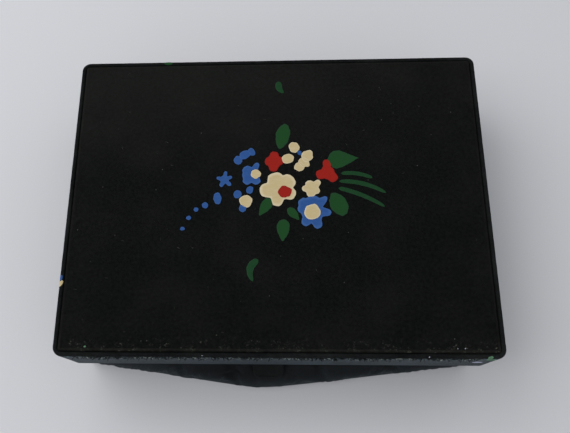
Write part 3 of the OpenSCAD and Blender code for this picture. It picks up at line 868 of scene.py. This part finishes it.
# ---------- Painted spray ----------
# A small spray of flowers and leaves, brushed on the panel by hand in thin oil colour: cream, red and blue
# flowers, green leaves and stalks. The paint has gathered in a pale ridge round each dab.
def oil_paint(name, colour, ridge, streak=0.3):
    paint = Finish(name)
    where = paint.place()
    share, _, _ = paint.axes(paint.place("UV"))
    brush = paint.cloud(paint.scaled(where, (0.5, 1.4, 1)), 1.3, detail=5)
    grit = paint.cloud(where, 0.3, detail=3)
    rim = paint.between(share, 0.78, 0.97)
    return paint.surface(
        Base_Color=paint.mix(0.75 * rim + streak * paint.between(brush, 0.35, 0.75), colour, ridge),
        Roughness=0.6 + 0.25 * grit,
        Normal=paint.bump(brush + 0.6 * grit, 0.04),
        Specular_IOR_Level=0.06)


paint_t = 0.11
spot_points, flower_points, leaf_points = 40, 96, 56
paints = {name: oil_paint(name, ink(*colour), ink(*ridge)) for name, colour, ridge in (
    ("cream_paint", (184, 166, 124), (200, 188, 158)), ("red_paint", (143, 30, 22), (132, 30, 26)),
    ("blue_paint", (42, 77, 133), (58, 92, 146)), ("leaf_paint", (26, 66, 31), (32, 62, 40)),
    ("stalk_paint", (24, 58, 32), (36, 70, 45)), ("splash_paint", (166, 170, 192), (186, 190, 206)),
    ("mint_paint", (74, 112, 84), (108, 140, 114)))}
strokes = {name: [] for name in paints}


def lid_top(at, rise):
    """Place on the lid's top, this far above its cloth: on the panel, or on the piping outside it."""
    gap = min(lid_x - abs(at.x), lid_y - abs(at.y))
    if gap > lid_x - panel_x:
        return at.x, at.y, panel_z(at.x, at.y) + rise
    return at.x, at.y, deck_top + piping_r + math.sqrt(max(0, piping_r ** 2 - (gap - piping_r) ** 2)) + rise


def rim_face(at, rise):
    """Place on the front of the rim, this far out of its cloth."""
    return at.x, -lid_y - rise, at.y


def quads(rows, wide, first=0, ring=False):
    """Faces between a grid of points, row by row. In a ring, each row's end meets its start."""
    return [tuple(first + i * wide + j % wide for i, j in ((r, c), (r, c + 1), (r + 1, c + 1), (r + 1, c)))
            for r in range(rows - 1) for c in range(wide if ring else wide - 1)]


def dab(colour, outline, centre, layer=0, lay=lid_top):
    """One dab of paint: a domed skin inside an outline round its centre."""
    centre = Vector(centre)
    rings = [(1.0, -0.12), (1.0, 0.35), (0.96, 0.85), (0.86, 1.0), (0.7, 0.8), (0.4, 0.72), (0.2, 0.7)]
    base = layer * 0.8 * paint_t
    count = len(outline)
    points = [lay(centre + (Vector(p) - centre) * share, base + paint_t * rise) for share, rise in rings
              for p in outline]
    faces = quads(len(rings), count, ring=True)
    faces.append([(len(rings) - 1) * count + c for c in range(count)])
    faces.append(list(range(count))[::-1])
    shares = [rings[k // count][0] for face in faces for k in face]
    strokes[colour].append((points, faces, shares))


def wobble(p, seed, amount):
    """Point of an outline as an unsteady brush leaves it."""
    moved = p.copy()
    for reach, fine in ((amount, 0.5), (0.16, 1.3)):
        shake = [noise.noise(Vector((p.x * fine, p.y * fine, seed + shift))) for shift in (0, 50)]
        moved += reach * Vector(shake)
    return moved


def turned(x, y, degrees):
    p = Vector((x, y))
    p.rotate(Matrix.Rotation(math.radians(degrees), 2))
    return p


def spot(colour, at, wide, tall, turn=0.0, layer=0, seed=0.0, lay=lid_top):
    """Round dab, not quite even."""
    at = Vector(at)
    outline = []
    for k in range(spot_points):
        a = math.tau * k / spot_points
        r = 1 + 0.16 * noise.noise(Vector((math.cos(a) * 1.2, math.sin(a) * 1.2, seed)))
        p = turned(r * math.cos(a) * wide / 2, r * math.sin(a) * tall / 2, turn)
        outline.append(wobble(at + p, seed, min(wide, tall) * 0.03))
    dab(colour, outline, at, layer, lay)


def flower(colour, at, heart, petals, layer=0, seed=0.0):
    """Flower round its heart. Each petal has its direction in degrees, its reach and how wide it spreads."""
    at = Vector(at)
    reaches = []
    for k in range(flower_points):
        a = 360 * k / flower_points
        turns = [((a - way + 180) % 360 - 180) / wide for way, _, wide in petals]
        reaches.append(max(heart + (reach - heart) * math.exp(-t ** 4)
                           for t, (_, reach, _) in zip(turns, petals)))
    for _ in range(2):
        reaches = [(reaches[k - 1] + 2 * r + reaches[(k + 1) % flower_points]) / 4
                   for k, r in enumerate(reaches)]
    ways = [math.tau * k / flower_points for k in range(flower_points)]
    dab(colour, [wobble(at + Vector((r * math.cos(a), r * math.sin(a))), seed, heart * 0.04)
                 for r, a in zip(reaches, ways)], at, layer)


def leaf(at, length, width, turn, tip=0.35, seed=0.0):
    """Leaf with a blunt heel and a drawn-out tip, which points along turn."""
    at = Vector(at)
    outline = []
    for k in range(leaf_points):
        a = math.tau * k / leaf_points
        x = math.cos(a)
        y = math.sin(a) * abs(math.sin(a)) ** 0.25 * (1 - tip * x)
        p = turned(x * length / 2, y * width / 2, turn)
        outline.append(wobble(at + p, seed, width * 0.05))
    dab("leaf_paint", outline, at)


def brush_line(colour, start, bend, end, widths, steps=22):
    """Single brush stroke along a curve. Widths are given at its start, middle and end."""
    a, b, c = (Vector(p) for p in (start, bend, end))
    points = []
    section = [(-1.0, -0.12), (-1.0, 0.3), (-0.7, 0.9), (0, 0.8), (0.7, 0.9), (1.0, 0.3), (1.0, -0.12)]
    for k in range(steps + 1):
        t = k / steps
        at = (1 - t) ** 2 * a + 2 * t * (1 - t) * b + t * t * c
        way = (2 * (1 - t) * (b - a) + 2 * t * (c - b)).normalized()
        side = Vector((-way.y, way.x))
        w = widths[0] * (1 - t) * (1 - 2 * t) + widths[1] * 4 * t * (1 - t) - widths[2] * t * (1 - 2 * t)
        w *= 0.5 * math.sqrt(max(0.0, 1 - (2 * t - 1) ** 10))
        w *= 1 + 0.12 * noise.noise(Vector((at.x, at.y, 4)))
        points.extend(lid_top(at + side * w * share, paint_t * rise) for share, rise in section)
    n = len(section)
    faces = quads(steps + 1, n, ring=True)
    faces.append(list(range(n)))
    faces.append([steps * n + i for i in range(n)][::-1])
    strokes[colour].append((points, faces, [abs(section[k % n][0]) for face in faces for k in face]))


flower("cream_paint", (1.7, 3.8), 5.9, [(107, 8.5, 34), (40, 9.0, 33), (-25, 8.6, 26), (-98, 8.7, 24),
                                        (187, 9.1, 30)], seed=1)
spot("red_paint", (4.6, 2.2), 6.6, 6.0, layer=1, seed=2)
flower("blue_paint", (17.5, -7.6), 5.4, [(134, 8.3, 24), (164, 7.2, 20), (85, 7.9, 32), (47, 10.0, 13),
                                         (-4, 8.8, 17), (-70, 8.9, 20), (-121, 8.1, 20)], seed=3)
spot("cream_paint", (17.4, -7.9), 7.5, 7.7, layer=1, seed=4)
flower("blue_paint", (-11.7, 11.0), 4.0, [(61, 7.2, 16), (125, 5.2, 30), (238, 5.4, 26), (-48, 5.9, 26)],
       seed=5)
spot("cream_paint", (-9.3, 11.5), 4.9, 4.5, turn=25, layer=1, seed=6)
flower("red_paint", (-0.6, 18.0), 3.7, [(87, 5.2, 30), (4, 4.5, 30), (267, 5.3, 30), (179, 4.4, 30)], seed=7)
flower("red_paint", (25.0, 12.0), 3.4, [(93, 6.8, 24), (197, 5.6, 34), (-46, 5.8, 34)], seed=8)
flower("cream_paint", (17.4, 3.9), 3.3, [(180, 4.6, 24), (115, 4.3, 30), (46, 5.5, 22), (-29, 4.1, 24),
                                         (258, 4.4, 32)], seed=9)
flower("blue_paint", (-24.3, 8.8), 2.1, [(83, 4.3, 17), (21, 3.9, 18), (-46, 4.3, 19), (243, 4.1, 21),
                                         (166, 4.0, 18)], seed=10)
spot("cream_paint", (-13.9, -2.3), 6.1, 6.3, seed=11)
spot("cream_paint", (9.2, 25.4), 4.9, 5.8, turn=20, seed=12)
spot("cream_paint", (6.1, 19.4), 6.2, 5.0, turn=10, seed=13)
for x, y, wide, tall in ((15.5, 20.8, 6.3, 5.6), (13.7, 17.5, 4.8, 5.2), (11.5, 15.2, 4.8, 5.0),
                         (15.4, 16.3, 2.4, 2.4)):
    spot("cream_paint", (x, y), wide, tall, turn=50, seed=x)
spot("blue_paint", (11.8, 22.4), 2.0, 2.3, seed=16)
for x, y, wide, tall in ((-17.9, 18.9, 4.2, 4.4), (-14.7, 21.6, 5.6, 4.2), (-11.4, 23.1, 3.2, 4.2)):
    spot("blue_paint", (x, y), wide, tall, turn=35, seed=x)
spot("blue_paint", (-17.9, 1.1), 4.1, 3.8, turn=40, seed=19)
spot("blue_paint", (-12.1, 3.3), 3.3, 4.0, turn=-20, seed=20)
spot("blue_paint", (-15.4, -6.0), 3.4, 3.6, seed=21)
trail = [(-27.5, -0.9, 3.9, 5.8), (-33.3, -4.3, 3.0, 2.9), (-37.5, -6.4, 2.3, 2.1), (-40.9, -10.5, 2.2, 2.1),
         (-43.6, -15.9, 2.1, 1.8)]
for k, (x, y, wide, tall) in enumerate(trail):
    spot("blue_paint", (x, y), wide, tall, turn=8, seed=22 + k)
leaf((3.7, 31.3), 13.6, 6.9, 78, tip=-0.1, seed=30)
leaf((31.1, 18.9), 11.6, 9.2, 4, tip=0.3, seed=31)
leaf((35.8, 19.1), 8.4, 4.6, 4, tip=0.8, seed=36)
leaf((29.8, -4.1), 12.4, 8.2, -64, tip=-0.05, seed=32)
leaf((-4.7, -5.3), 10.0, 4.9, 238, tip=0.45, seed=33)
leaf((8.6, -8.8), 7.8, 4.0, -48, tip=0.35, seed=34)
leaf((3.7, -16.8), 10.8, 5.8, -92, tip=0.45, seed=35)
brush_line("stalk_paint", (2.6, 61.6), (0.2, 58.6), (4.4, 55.2), (2.2, 3.3, 0.9))
brush_line("stalk_paint", (-7.7, -31.1), (-14.1, -34.2), (-10.1, -41.2), (2.6, 3.3, 1.1))
brush_line("stalk_paint", (31.4, 11.4), (39.3, 12.4), (46.2, 9.0), (1.8, 2.0, 1.6))
brush_line("stalk_paint", (30.3, 7.4), (41.8, 7.9), (52.2, 1.4), (1.7, 2.2, 1.5))
brush_line("stalk_paint", (29.9, 4.0), (40.9, 1.5), (51.3, -5.5), (2.1, 2.1, 1.5))
# Stray dabs and splashes on the panel's front, on the piping and on the rim's front right corner.
spot("leaf_paint", (-55.1, 74.0), 4.2, 1.9, seed=40)
spot("cream_paint", (-99.1, -42.0), 1.6, 3.2, turn=-25, seed=41)
spot("blue_paint", (-99.2, -39.2), 1.3, 2.6, seed=42)
spot("mint_paint", (94.0, 49.2), 4.4, 3.8, turn=-15, seed=43, lay=rim_face)
spot("mint_paint", (92.8, -74.5), 2.3, 1.1, turn=10, seed=46)
spot("splash_paint", (90.7, 39.6), 4.4, 3.2, turn=8, seed=44, lay=rim_face)
spot("mint_paint", (-85.0, -70.7), 1.0, 0.7, seed=45)
for x, y, size in ((82.2, -70.7, 0.45), (79.0, -70.8, 0.3), (-32.2, -74.4, 0.3), (66.7, -74.4, 0.45)):
    spot("splash_paint", (x, y), size, size, seed=x)
for name, dabs in strokes.items():
    points, faces, shares = [], [], []
    for more, skins, ridges in dabs:
        faces.extend([k + len(points) for k in face] for face in skins)
        points.extend(Vector(p) * MM for p in more)
        shares.extend(ridges)
    shares = [(share * MM, 0) for share in shares]
    painted = stitch(name, points, faces, paints[name], shares, crisp=80)
    mount(painted, "lid")


# ---------- Lint and frayed threads ----------
# Pale fibres cling to the top panel. Threads and dark fuzz stand out of the rubbed seam along the lid's
# front, and a few stretches of it are worn more than the rest.
def recipe(name, sizes):
    """Empty geometry tree with its named sizes. Gives the tree and its input."""
    group = bpy.data.node_groups.new(name, "GeometryNodeTree")
    group.interface.new_socket("Geometry", in_out="INPUT", socket_type="NodeSocketGeometry")
    for size, start_value in sizes.items():
        kind = "NodeSocketInt" if isinstance(start_value, int) else "NodeSocketFloat"
        group.interface.new_socket(size, in_out="INPUT", socket_type=kind).default_value = start_value
    group.interface.new_socket("Geometry", in_out="OUTPUT", socket_type="NodeSocketGeometry")
    tree = Tree(group)
    return tree, tree.node("NodeGroupInput")


def finish_recipe(tree, geometry, material):
    real = tree.node("GeometryNodeRealizeInstances", inputs={"Geometry": geometry})
    real = tree.node("GeometryNodeSetShadeSmooth", inputs={"Geometry": real})
    dressed = tree.node("GeometryNodeSetMaterial", inputs={"Geometry": real, "Material": material})
    tree.node("NodeGroupOutput", inputs={"Geometry": dressed})
    return tree.tree


def follow(name, base, group, **sizes):
    """Runs a recipe on a base mesh, and keeps the plain mesh that it makes."""
    made = stand(name, base)
    run = made.modifiers.new(name, "NODES")
    run.node_group = group
    for socket in group.interface.items_tree:
        key = socket.name.replace(" ", "_")
        if socket.in_out == "INPUT" and key in sizes:
            run[socket.identifier] = sizes[key]
    mesh = bpy.data.meshes.new_from_object(made.evaluated_get(bpy.context.evaluated_depsgraph_get()))
    made.modifiers.clear()
    made.data = mesh
    return made


def hair(tree, length, thick, curl):
    """Short bent fibre along x."""
    line = tree.node("GeometryNodeCurveQuadraticBezier", inputs={"Resolution": 5})
    for key, x, z in (("Start", -0.5, 0.0), ("Middle", 0.1, 1.0), ("End", 0.5, 0.0)):
        point = tree.node("ShaderNodeCombineXYZ", inputs={0: length * x, 2: curl * z})
        tree.tree.links.new(point.socket(), line.node.inputs[key])
    section = tree.node("GeometryNodeCurvePrimitiveCircle", inputs={"Resolution": 4, "Radius": thick})
    return tree.node("GeometryNodeCurveToMesh", inputs={
        "Curve": line, "Profile Curve": section, "Fill Caps": True})


def strew(tree, points, sizes, curl, turns, scales, scale_seed):
    """Fibres at points, each turned and scaled at random between the two limits."""
    turn = tree.node("FunctionNodeRandomValue", {"data_type": "FLOAT_VECTOR"}, {
        "Min": turns[0], "Max": turns[1], "Seed": sizes.also("Seed")})
    scale = tree.node("FunctionNodeRandomValue", {"data_type": "FLOAT"}, {
        "Min_001": scales[0], "Max_001": scales[1], "Seed": scale_seed}, out="Value_001")
    return tree.node("GeometryNodeInstanceOnPoints", inputs={
        "Points": points, "Instance": hair(tree, sizes.also("Fibre"), sizes.also("Thickness"), curl),
        "Rotation": turn, "Scale": scale})


def fibre(name, dull, bright):
    fluff = Finish(name)
    tint = fluff.between(fluff.cloud(fluff.place(), 4), 0.35, 0.65)
    return fluff.surface(Base_Color=fluff.mix(tint, dull, bright), Roughness=0.8 + 0.1 * tint,
                         Specular_IOR_Level=0.2)


grey_lint = fibre("grey_lint", ink(44, 46, 42), ink(92, 94, 84))
pale_fibre = fibre("pale_fibre", ink(88, 108, 114), ink(168, 176, 170))
dark_fibre = fibre("dark_fibre", ink(14, 16, 17), ink(40, 46, 48))

lint_tree, lint_sizes = recipe("lint", {"Density": 900.0, "Fibre": 0.0011, "Thickness": 0.00003, "Seed": 7})
lint_points = lint_tree.node("GeometryNodeDistributePointsOnFaces", inputs={
    "Mesh": lint_sizes, "Density": lint_sizes.also("Density"), "Seed": lint_sizes.also("Seed")})
lint_strewn = strew(lint_tree, lint_points, lint_sizes, 0.0003,
                    ((-0.2, -0.2, 0.0), (0.2, 0.2, math.tau)), (0.4, 1.4), 3)
lint_group = finish_recipe(lint_tree, lint_strewn, grey_lint)

lint_ground = bpy.data.meshes.new("lint_ground")
ground_xs, ground_ys = evenly(-94, 94, 40), evenly(-70, 70, 30)
ground = [(x * MM, y * MM, (panel_z(x, y) + 0.03) * MM) for y in ground_ys for x in ground_xs]
lint_ground.from_pydata(ground, [], quads(len(ground_ys), len(ground_xs)))
panel_lint = follow("panel_lint", lint_ground, lint_group, Density=2600.0, Seed=11)
mount(panel_lint, "lid")


def stations(tree, sizes):
    """Points at an even pitch along a line."""
    line = tree.node("GeometryNodeMeshToCurve", inputs={"Mesh": sizes})
    return tree.node("GeometryNodeResampleCurve", {"mode": "LENGTH"}, {
        "Curve": line, "Length": sizes.also("Pitch")})


def frays(name, material):
    """Loose thread ends strewn along a line."""
    tree, sizes = recipe(name, {"Pitch": 0.0006, "Fibre": 0.0013, "Thickness": 0.00004, "Seed": 5})
    strewn = strew(tree, stations(tree, sizes), sizes, 0.0002,
                   ((-0.6, -0.7, -1.2), (0.6, 0.7, 1.2)), (0.2, 1.3), 8)
    return finish_recipe(tree, strewn, material)


seam_line = bpy.data.meshes.new("seam_line")
worn_stretches = [(-80, -62), (-28, -6), (8, 30), (34, 48), (-90, 90)]
seam_points, seam_joins = [], []
for start, end in worn_stretches:
    for k in range(2 * (end - start)):
        x = start + k / 2
        if k:
            seam_joins.append((len(seam_points) - 1, len(seam_points)))
        seam_points.append(Vector((x, -75.05 + 0.12 * noise.noise(Vector((x / 2, 1, start))),
                                   51.0 + 0.5 * noise.noise(Vector((x / 3, 5, start))))) * MM)
seam_line.from_pydata(seam_points, seam_joins, [])
for name, shade, pitch, length, thickness, seed in (
        ("seam_threads", pale_fibre, 0.0008, 0.0016, 0.00009, 21),
        ("seam_fuzz", dark_fibre, 0.00035, 0.0026, 0.00012, 4)):
    threads = follow(name, seam_line.copy(), frays(name, shade), Pitch=pitch, Fibre=length,
                     Thickness=thickness, Seed=seed)
    mount(threads, "lid")


# ---------- Ceiling of the lid ----------
# A thin card covered in the red velvet over a little wadding, glued up inside the lid. Its edge is rounded,
# and the mirror presses its middle flat.
ceiling_z = 47.6
ceiling_x, ceiling_y = 97.3, 72.3


def ceiling_skin(x, y):
    wall = max(0, min(ceiling_x - abs(x), ceiling_y - abs(y)))
    edge = math.sqrt(1 - (1 - min(1, wall / 1.0)) ** 2)
    return x, y, ceiling_z + 0.8 - 0.8 * edge - 0.12 * crown(wall - 4, 6)


ceiling_velvet = pad("ceiling_velvet", spread(-ceiling_x, ceiling_x, 4), spread(-ceiling_y, ceiling_y, 4),
                     ceiling_skin, 48.57, red_velvet)
mount(ceiling_velvet, "lid", "ceiling_pad")


# ---------- Mirror ----------
# Silvered glass in a frame of pressed and gilt brass, with a row of beads near its outer edge, fixed to the
# ceiling. The silvering has tarnished a little along the frame.
mirror_half_x, mirror_half_y = 70, 48
glass = Finish("mirror_glass")
glass_place = glass.place()
glass_x, glass_y, _ = glass.axes(glass_place)
glass_edge = glass.sum("MAXIMUM", glass.sum("ABSOLUTE", glass_x) - mirror_half_x,
                       glass.sum("ABSOLUTE", glass_y) - mirror_half_y)
foxing = 0.8 * glass.between(glass_edge + 5 * glass.cloud(glass_place, 7, detail=5, rough=0.55), 0.6, 4.2)
mirror_glass = glass.surface(
    Base_Color=glass.mix(foxing, (0.86, 0.88, 0.88, 1), ink(96, 84, 70)),
    Metallic=1.0,
    Roughness=0.03 + 0.4 * foxing,
    Coat_Weight=0.5, Coat_Roughness=0.03)
dress(mirror_glass, "mirror")

gold = Finish("gilt")
gold_place = gold.place()
gold_rub = 0.55 * gold.between(gold.cloud(gold_place, 1.1, detail=6, rough=0.75), 0.45, 0.72)
gold_grain = gold.cloud(gold_place, 0.3)
gilt = gold.surface(
    Base_Color=gold.mix(gold_rub, ink(214, 172, 92), ink(134, 96, 50)),
    Metallic=1.0,
    Roughness=0.24 + 0.25 * gold_rub,
    Normal=gold.bump(gold_grain + gold_rub, 0.03))
dress(gilt, "mirror_frame")

bead_tree, bead_sizes = recipe("beads", {"Pitch": 0.002, "Radius": 0.0007})
bead = bead_tree.node("GeometryNodeMeshUVSphere", inputs={
    "Segments": 8, "Rings": 5, "Radius": bead_sizes.also("Radius")})
bead_run = bead_tree.node("GeometryNodeInstanceOnPoints", inputs={
    "Points": stations(bead_tree, bead_sizes), "Instance": bead})
bead_group = finish_recipe(bead_tree, bead_run, gilt)

frame_low, frame_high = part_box("mirror_frame")
bead_in = 1.6
bead_walk = corner_walk(frame_high[0] / MM - bead_in, frame_high[1] / MM - bead_in, 5.4)
bead_path = bpy.data.meshes.new("bead_path")
bead_path.from_pydata([(at.x * MM, at.y * MM, frame_low[2] - 0.00005) for at, _ in bead_walk],
                      [(k, (k + 1) % len(bead_walk)) for k in range(len(bead_walk))], [])
frame_beads = follow("frame_beads", bead_path, bead_group, Pitch=0.0019, Radius=0.0006)
mount(frame_beads, "lid")


# ---------- Closing tab ----------
# Two layers of the black cloth sewn together near their edge, folded out from inside the lid's rim. Its root
# is glued to the rim, and its press stud shuts on the padded front.
tab_x, tab_y, tab_z = -4.0, -73.1, 22.3
tab_w, tab_len, tab_t = 15.0, 11.0, 1.4
tab_gap = 0.85
tab_drops = [tab_len * (0.25 + 0.57 * k / 23) for k in range(24)]
tab_lean = max(math.asin((tab_t / 2 + tab_gap) / math.hypot(front_y(bow_x, tab_z - d) - tab_y, d))
               - math.atan2(front_y(bow_x, tab_z - d) - tab_y, d) for d in tab_drops)
tab_frame = Matrix.Translation(Vector((tab_x, tab_y, tab_z)) * MM) @ Matrix.Rotation(-tab_lean, 4, "X")
tab_end_r = tab_w / 4


def tab_outline(inset, steps=8):
    """Half outline of the tab from its fold down one side and round its end, mirrored."""
    half, r = tab_w / 2 - inset, tab_end_r - inset
    side = [(half, -tab_len + tab_end_r + (tab_len - tab_end_r) * (1 - k / 6)) for k in range(6)]
    turn = [(tab_w / 2 - tab_end_r + r * math.cos(math.pi / 2 * k / steps),
             -tab_len + tab_end_r - r * math.sin(math.pi / 2 * k / steps)) for k in range(steps + 1)]
    run = side + turn
    return run + [(-x, z) for x, z in reversed(run)]


tab_rings = [(0.0, 0.0), (0.08, 0.35), (0.3, 0.6), (0.7, 0.7), (1.15, 0.66), (1.5, 0.7), (3.0, 0.78)]
tab_points, tab_faces = [], []
for side in (-1, 1):
    for inset, half_t in tab_rings:
        tab_points += [Vector((x, side * half_t * tab_t / 1.56, z)) * MM for x, z in tab_outline(inset)]
tab_count = len(tab_outline(0))
per_side = tab_count * len(tab_rings)
for side in (0, 1):
    first = side * per_side
    ring = [first + per_side - tab_count + c for c in range(tab_count)]
    side_faces = [*quads(len(tab_rings), tab_count, first, ring=True), ring]
    tab_faces += side_faces if side else [face[::-1] for face in side_faces]
tab_uvs = [(tab_points[k].x, tab_points[k].z) for face in tab_faces for k in face]
tab_cloth = stitch("tab_cloth", tab_points, tab_faces, black_faille, tab_uvs)
tab_shell = bmesh.new()
tab_shell.from_mesh(tab_cloth.data)
bmesh.ops.remove_doubles(tab_shell, verts=tab_shell.verts, dist=1e-6)
bmesh.ops.recalc_face_normals(tab_shell, faces=tab_shell.faces)
tab_shell.to_mesh(tab_cloth.data)
tab_shell.free()
tab_cloth.data.transform(tab_frame)
mount(tab_cloth, "tab", "closing_tab")

cotton = Finish("black_thread")
cotton_twist = cotton.cloud(cotton.place(), 0.25)
black_thread = cotton.surface(Base_Color=cotton.mix(cotton_twist, ink(12, 13, 13), ink(32, 34, 34)),
                              Roughness=0.55 + 0.2 * cotton_twist, Specular_IOR_Level=0.15)
stitch_tree, stitch_sizes = recipe("stitches", {"Pitch": 0.0016, "Stitch": 0.0012, "Thread": 0.00014})
stitch_way = stitch_tree.node("FunctionNodeAlignRotationToVector", {"axis": "X"},
                              {"Vector": stitch_tree.node("GeometryNodeInputTangent")})
stitch_thread = hair(stitch_tree, stitch_sizes.also("Stitch"), stitch_sizes.also("Thread"), 0.00012)
stitch_run = stitch_tree.node("GeometryNodeInstanceOnPoints", inputs={
    "Points": stations(stitch_tree, stitch_sizes), "Instance": stitch_thread, "Rotation": stitch_way})
stitch_group = finish_recipe(stitch_tree, stitch_run, black_thread)


def sewn_line(name, flat_points, frame_of_cloth, body):
    """Row of stitches along points in the flat cloth, then moved with it."""
    path = bpy.data.meshes.new(name)
    path.from_pydata([(x * MM, z * MM, 0) for x, z in flat_points],
                     [(k, k + 1) for k in range(len(flat_points) - 1)], [])
    seam = follow(name, path, stitch_group)
    seam.data.transform(frame_of_cloth @ Matrix.Rotation(math.pi / 2, 4, "X"))
    mount(seam, body)
    return seam


tab_face = Matrix.Translation((0, -tab_t / 2 * 0.9 * MM, 0))
sewn_line("tab_stitches", tab_outline(1.15)[1:-1], tab_frame @ tab_face, "tab")

root_low, root_high = (Vector(p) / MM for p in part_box("tab_root"))
tab_root = box_slab(root_low + Vector((0.02, 0.02, 0.02)), root_high)
tab_root_cloth = slabs("tab_root_cloth", [tab_root], 0.3, black_faille)
mount(tab_root_cloth, "lid", "tab_root")


# ---------- Tray ----------
# A card tray wrapped in the red velvet, with a wadded floor, card partitions and soft rolls that hold rings.
# Two short ribbon loops at its ends lift it out.
tray_low, tray_high = (Vector(p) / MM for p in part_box("tray_shell"))
tray_mid = (tray_low.y + tray_high.y) / 2
tray_half_x, tray_half_y = tray_high.x, (tray_high.y - tray_low.y) / 2
tray_wall, tray_base = 1.8, 1.6
tray_walk = [(at + Vector((0, tray_mid)), out)
             for at, out in corner_walk(tray_half_x, tray_half_y, tray_wall, turns=5)]
tray_z, tray_top = tray_low.z, tray_high.z
tray_profile = [(0.5, tray_z, False), (0.15, tray_z + 0.15, False), (0, tray_z + 0.5, False)] \
    + [(0, tray_z + 0.5 + (tray_top - tray_z - 1.1) * k / 8, True) for k in range(1, 9)] \
    + [(0.15, tray_top - 0.2, False), (0.55, tray_top, False), (tray_wall - 0.55, tray_top, False),
       (tray_wall - 0.15, tray_top - 0.2, False), (tray_wall, tray_top - 0.6, False),
       (tray_wall, tray_z + 1.8, False), (tray_wall, tray_z + 0.05, False)]
tray_velvet = band("tray_velvet", tray_walk, tray_profile, red_velvet,
                   lambda s, z: -0.1 * abs(noise.noise(Vector((s / 8, z / 8, 4)))))
tray_card = box_slab((-tray_half_x + 1, tray_low.y + 1, tray_z + 0.02),
                     (tray_half_x - 1, tray_high.y - 1, tray_z + tray_base))
tray_floor = slabs("tray_floor", [tray_card], 0.3, red_velvet)
mount(tray_velvet, "tray", "tray_shell")
mount(tray_floor, "tray")

pad_low, pad_high = (Vector(p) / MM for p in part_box("tray_pad"))


def tray_skin(x, y):
    wall = max(0, min(pad_high.x - x, x - pad_low.x, pad_high.y - y, y - pad_low.y))
    edge = math.sqrt(1 - (1 - min(1, wall / 0.8)) ** 2)
    return x, y, pad_low.z + 0.3 + (pad_high.z - pad_low.z - 0.3) * edge


tray_pad_velvet = pad("tray_pad_velvet", spread(pad_low.x, pad_high.x, 5), spread(pad_low.y, pad_high.y, 5),
                      tray_skin, pad_low.z + 0.01, red_velvet)
mount(tray_pad_velvet, "tray", "tray_pad")


# ---------- Partitions of the tray ----------
# Thin cards covered in the red velvet, notched into each other. They part six cells on the right from the
# ring rolls on the left.
ring_x = -30.0
part_low, part_high = (Vector(p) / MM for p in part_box("tray_partitions"))
cell_w = (part_high.x + 0.65 - ring_x) / 3
part_pieces = [box_slab((ring_x - divider_t, part_low.y, part_low.z), (ring_x, part_high.y, part_high.z)),
               box_slab((ring_x - 0.3, tray_mid - divider_t / 2, part_low.z),
                        (part_high.x, tray_mid + divider_t / 2, part_high.z))]
half_t = divider_t / 2
for at_x in (ring_x + cell_w, ring_x + 2 * cell_w):
    for near, far in ((part_low.y, tray_mid - half_t + 0.3), (tray_mid + half_t - 0.3, part_high.y)):
        part_pieces.append(box_slab((at_x - half_t, near, part_low.z), (at_x + half_t, far, part_high.z)))
partitions = slabs("partition_velvet", part_pieces, 0.55, red_velvet)
mount(partitions, "tray", "tray_partitions")


# ---------- Ring rolls ----------
# Soft rolls of the red velvet over wadding, side by side, with a slot between each two that grips a ring.
# Their ends are gathered and glued to the tray.
roll_low, roll_high = (Vector(p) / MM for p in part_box("ring_rolls"))
roll_r = 5.0
roll_pitch = 11.4
roll_sides = 20
roll_length = roll_high.x - roll_low.x
roll_ends = (0, 0.4, 1.2, 2.4)
roll_stations = [*roll_ends, *evenly(4, roll_length - 4, 12)]
roll_stations += [roll_length - d for d in reversed(roll_ends)]
roll_count = round((roll_high.y - roll_low.y - 2 * roll_r) / roll_pitch) + 1
roll_points, roll_faces = [], []
for k in range(roll_count):
    y_mid = roll_low.y + roll_r + k * roll_pitch
    first = len(roll_points)
    for s in roll_stations:
        end_gap = min(s, roll_length - s)
        waist = 0.62 + 0.38 * math.sqrt(1 - (1 - min(1, end_gap / 3)) ** 2)
        for i in range(roll_sides):
            a = math.tau * i / roll_sides
            gather = 0.1 * math.cos(7 * a + k) * math.exp(-end_gap / 2.5)
            r = roll_r * (waist + gather * 0.5) * (1 + 0.02 * noise.noise(Vector((s / 6, a, k))))
            rise = roll_r + max(-roll_r + 0.02, r * math.sin(a))
            roll_points.append(Vector((roll_low.x + s, y_mid + r * math.cos(a), roll_low.z + rise)) * MM)
    roll_faces += quads(len(roll_stations), roll_sides, first, ring=True)
    roll_faces.append([first + i for i in range(roll_sides)][::-1])
    roll_faces.append([len(roll_points) - roll_sides + i for i in range(roll_sides)])
roll_velvet = stitch("roll_velvet", roll_points, roll_faces, red_velvet)
mount(roll_velvet, "tray", "ring_rolls")


# ---------- Ribbon pulls ----------
# A short loop of old gold ribbon at each end of the tray, glued to its card, to lift it by. The ribbon has
# fine ribs.
silk = Finish("gold_ribbon")
_, _, silk_z = silk.axes(silk.place())
silk_ribs = silk.sum("COSINE", silk_z * (math.tau / 0.5))
silk_tone = silk.cloud(silk.place(), 3)
gold_ribbon = silk.surface(
    Base_Color=silk.mix(silk_tone, ink(150, 112, 48), ink(186, 148, 76)),
    Roughness=0.5 + 0.15 * silk_tone,
    Normal=silk.bump(silk_ribs, 0.05),
    Sheen_Weight=0.2, Sheen_Roughness=0.4)
dress(gold_ribbon, "tray_pulls")
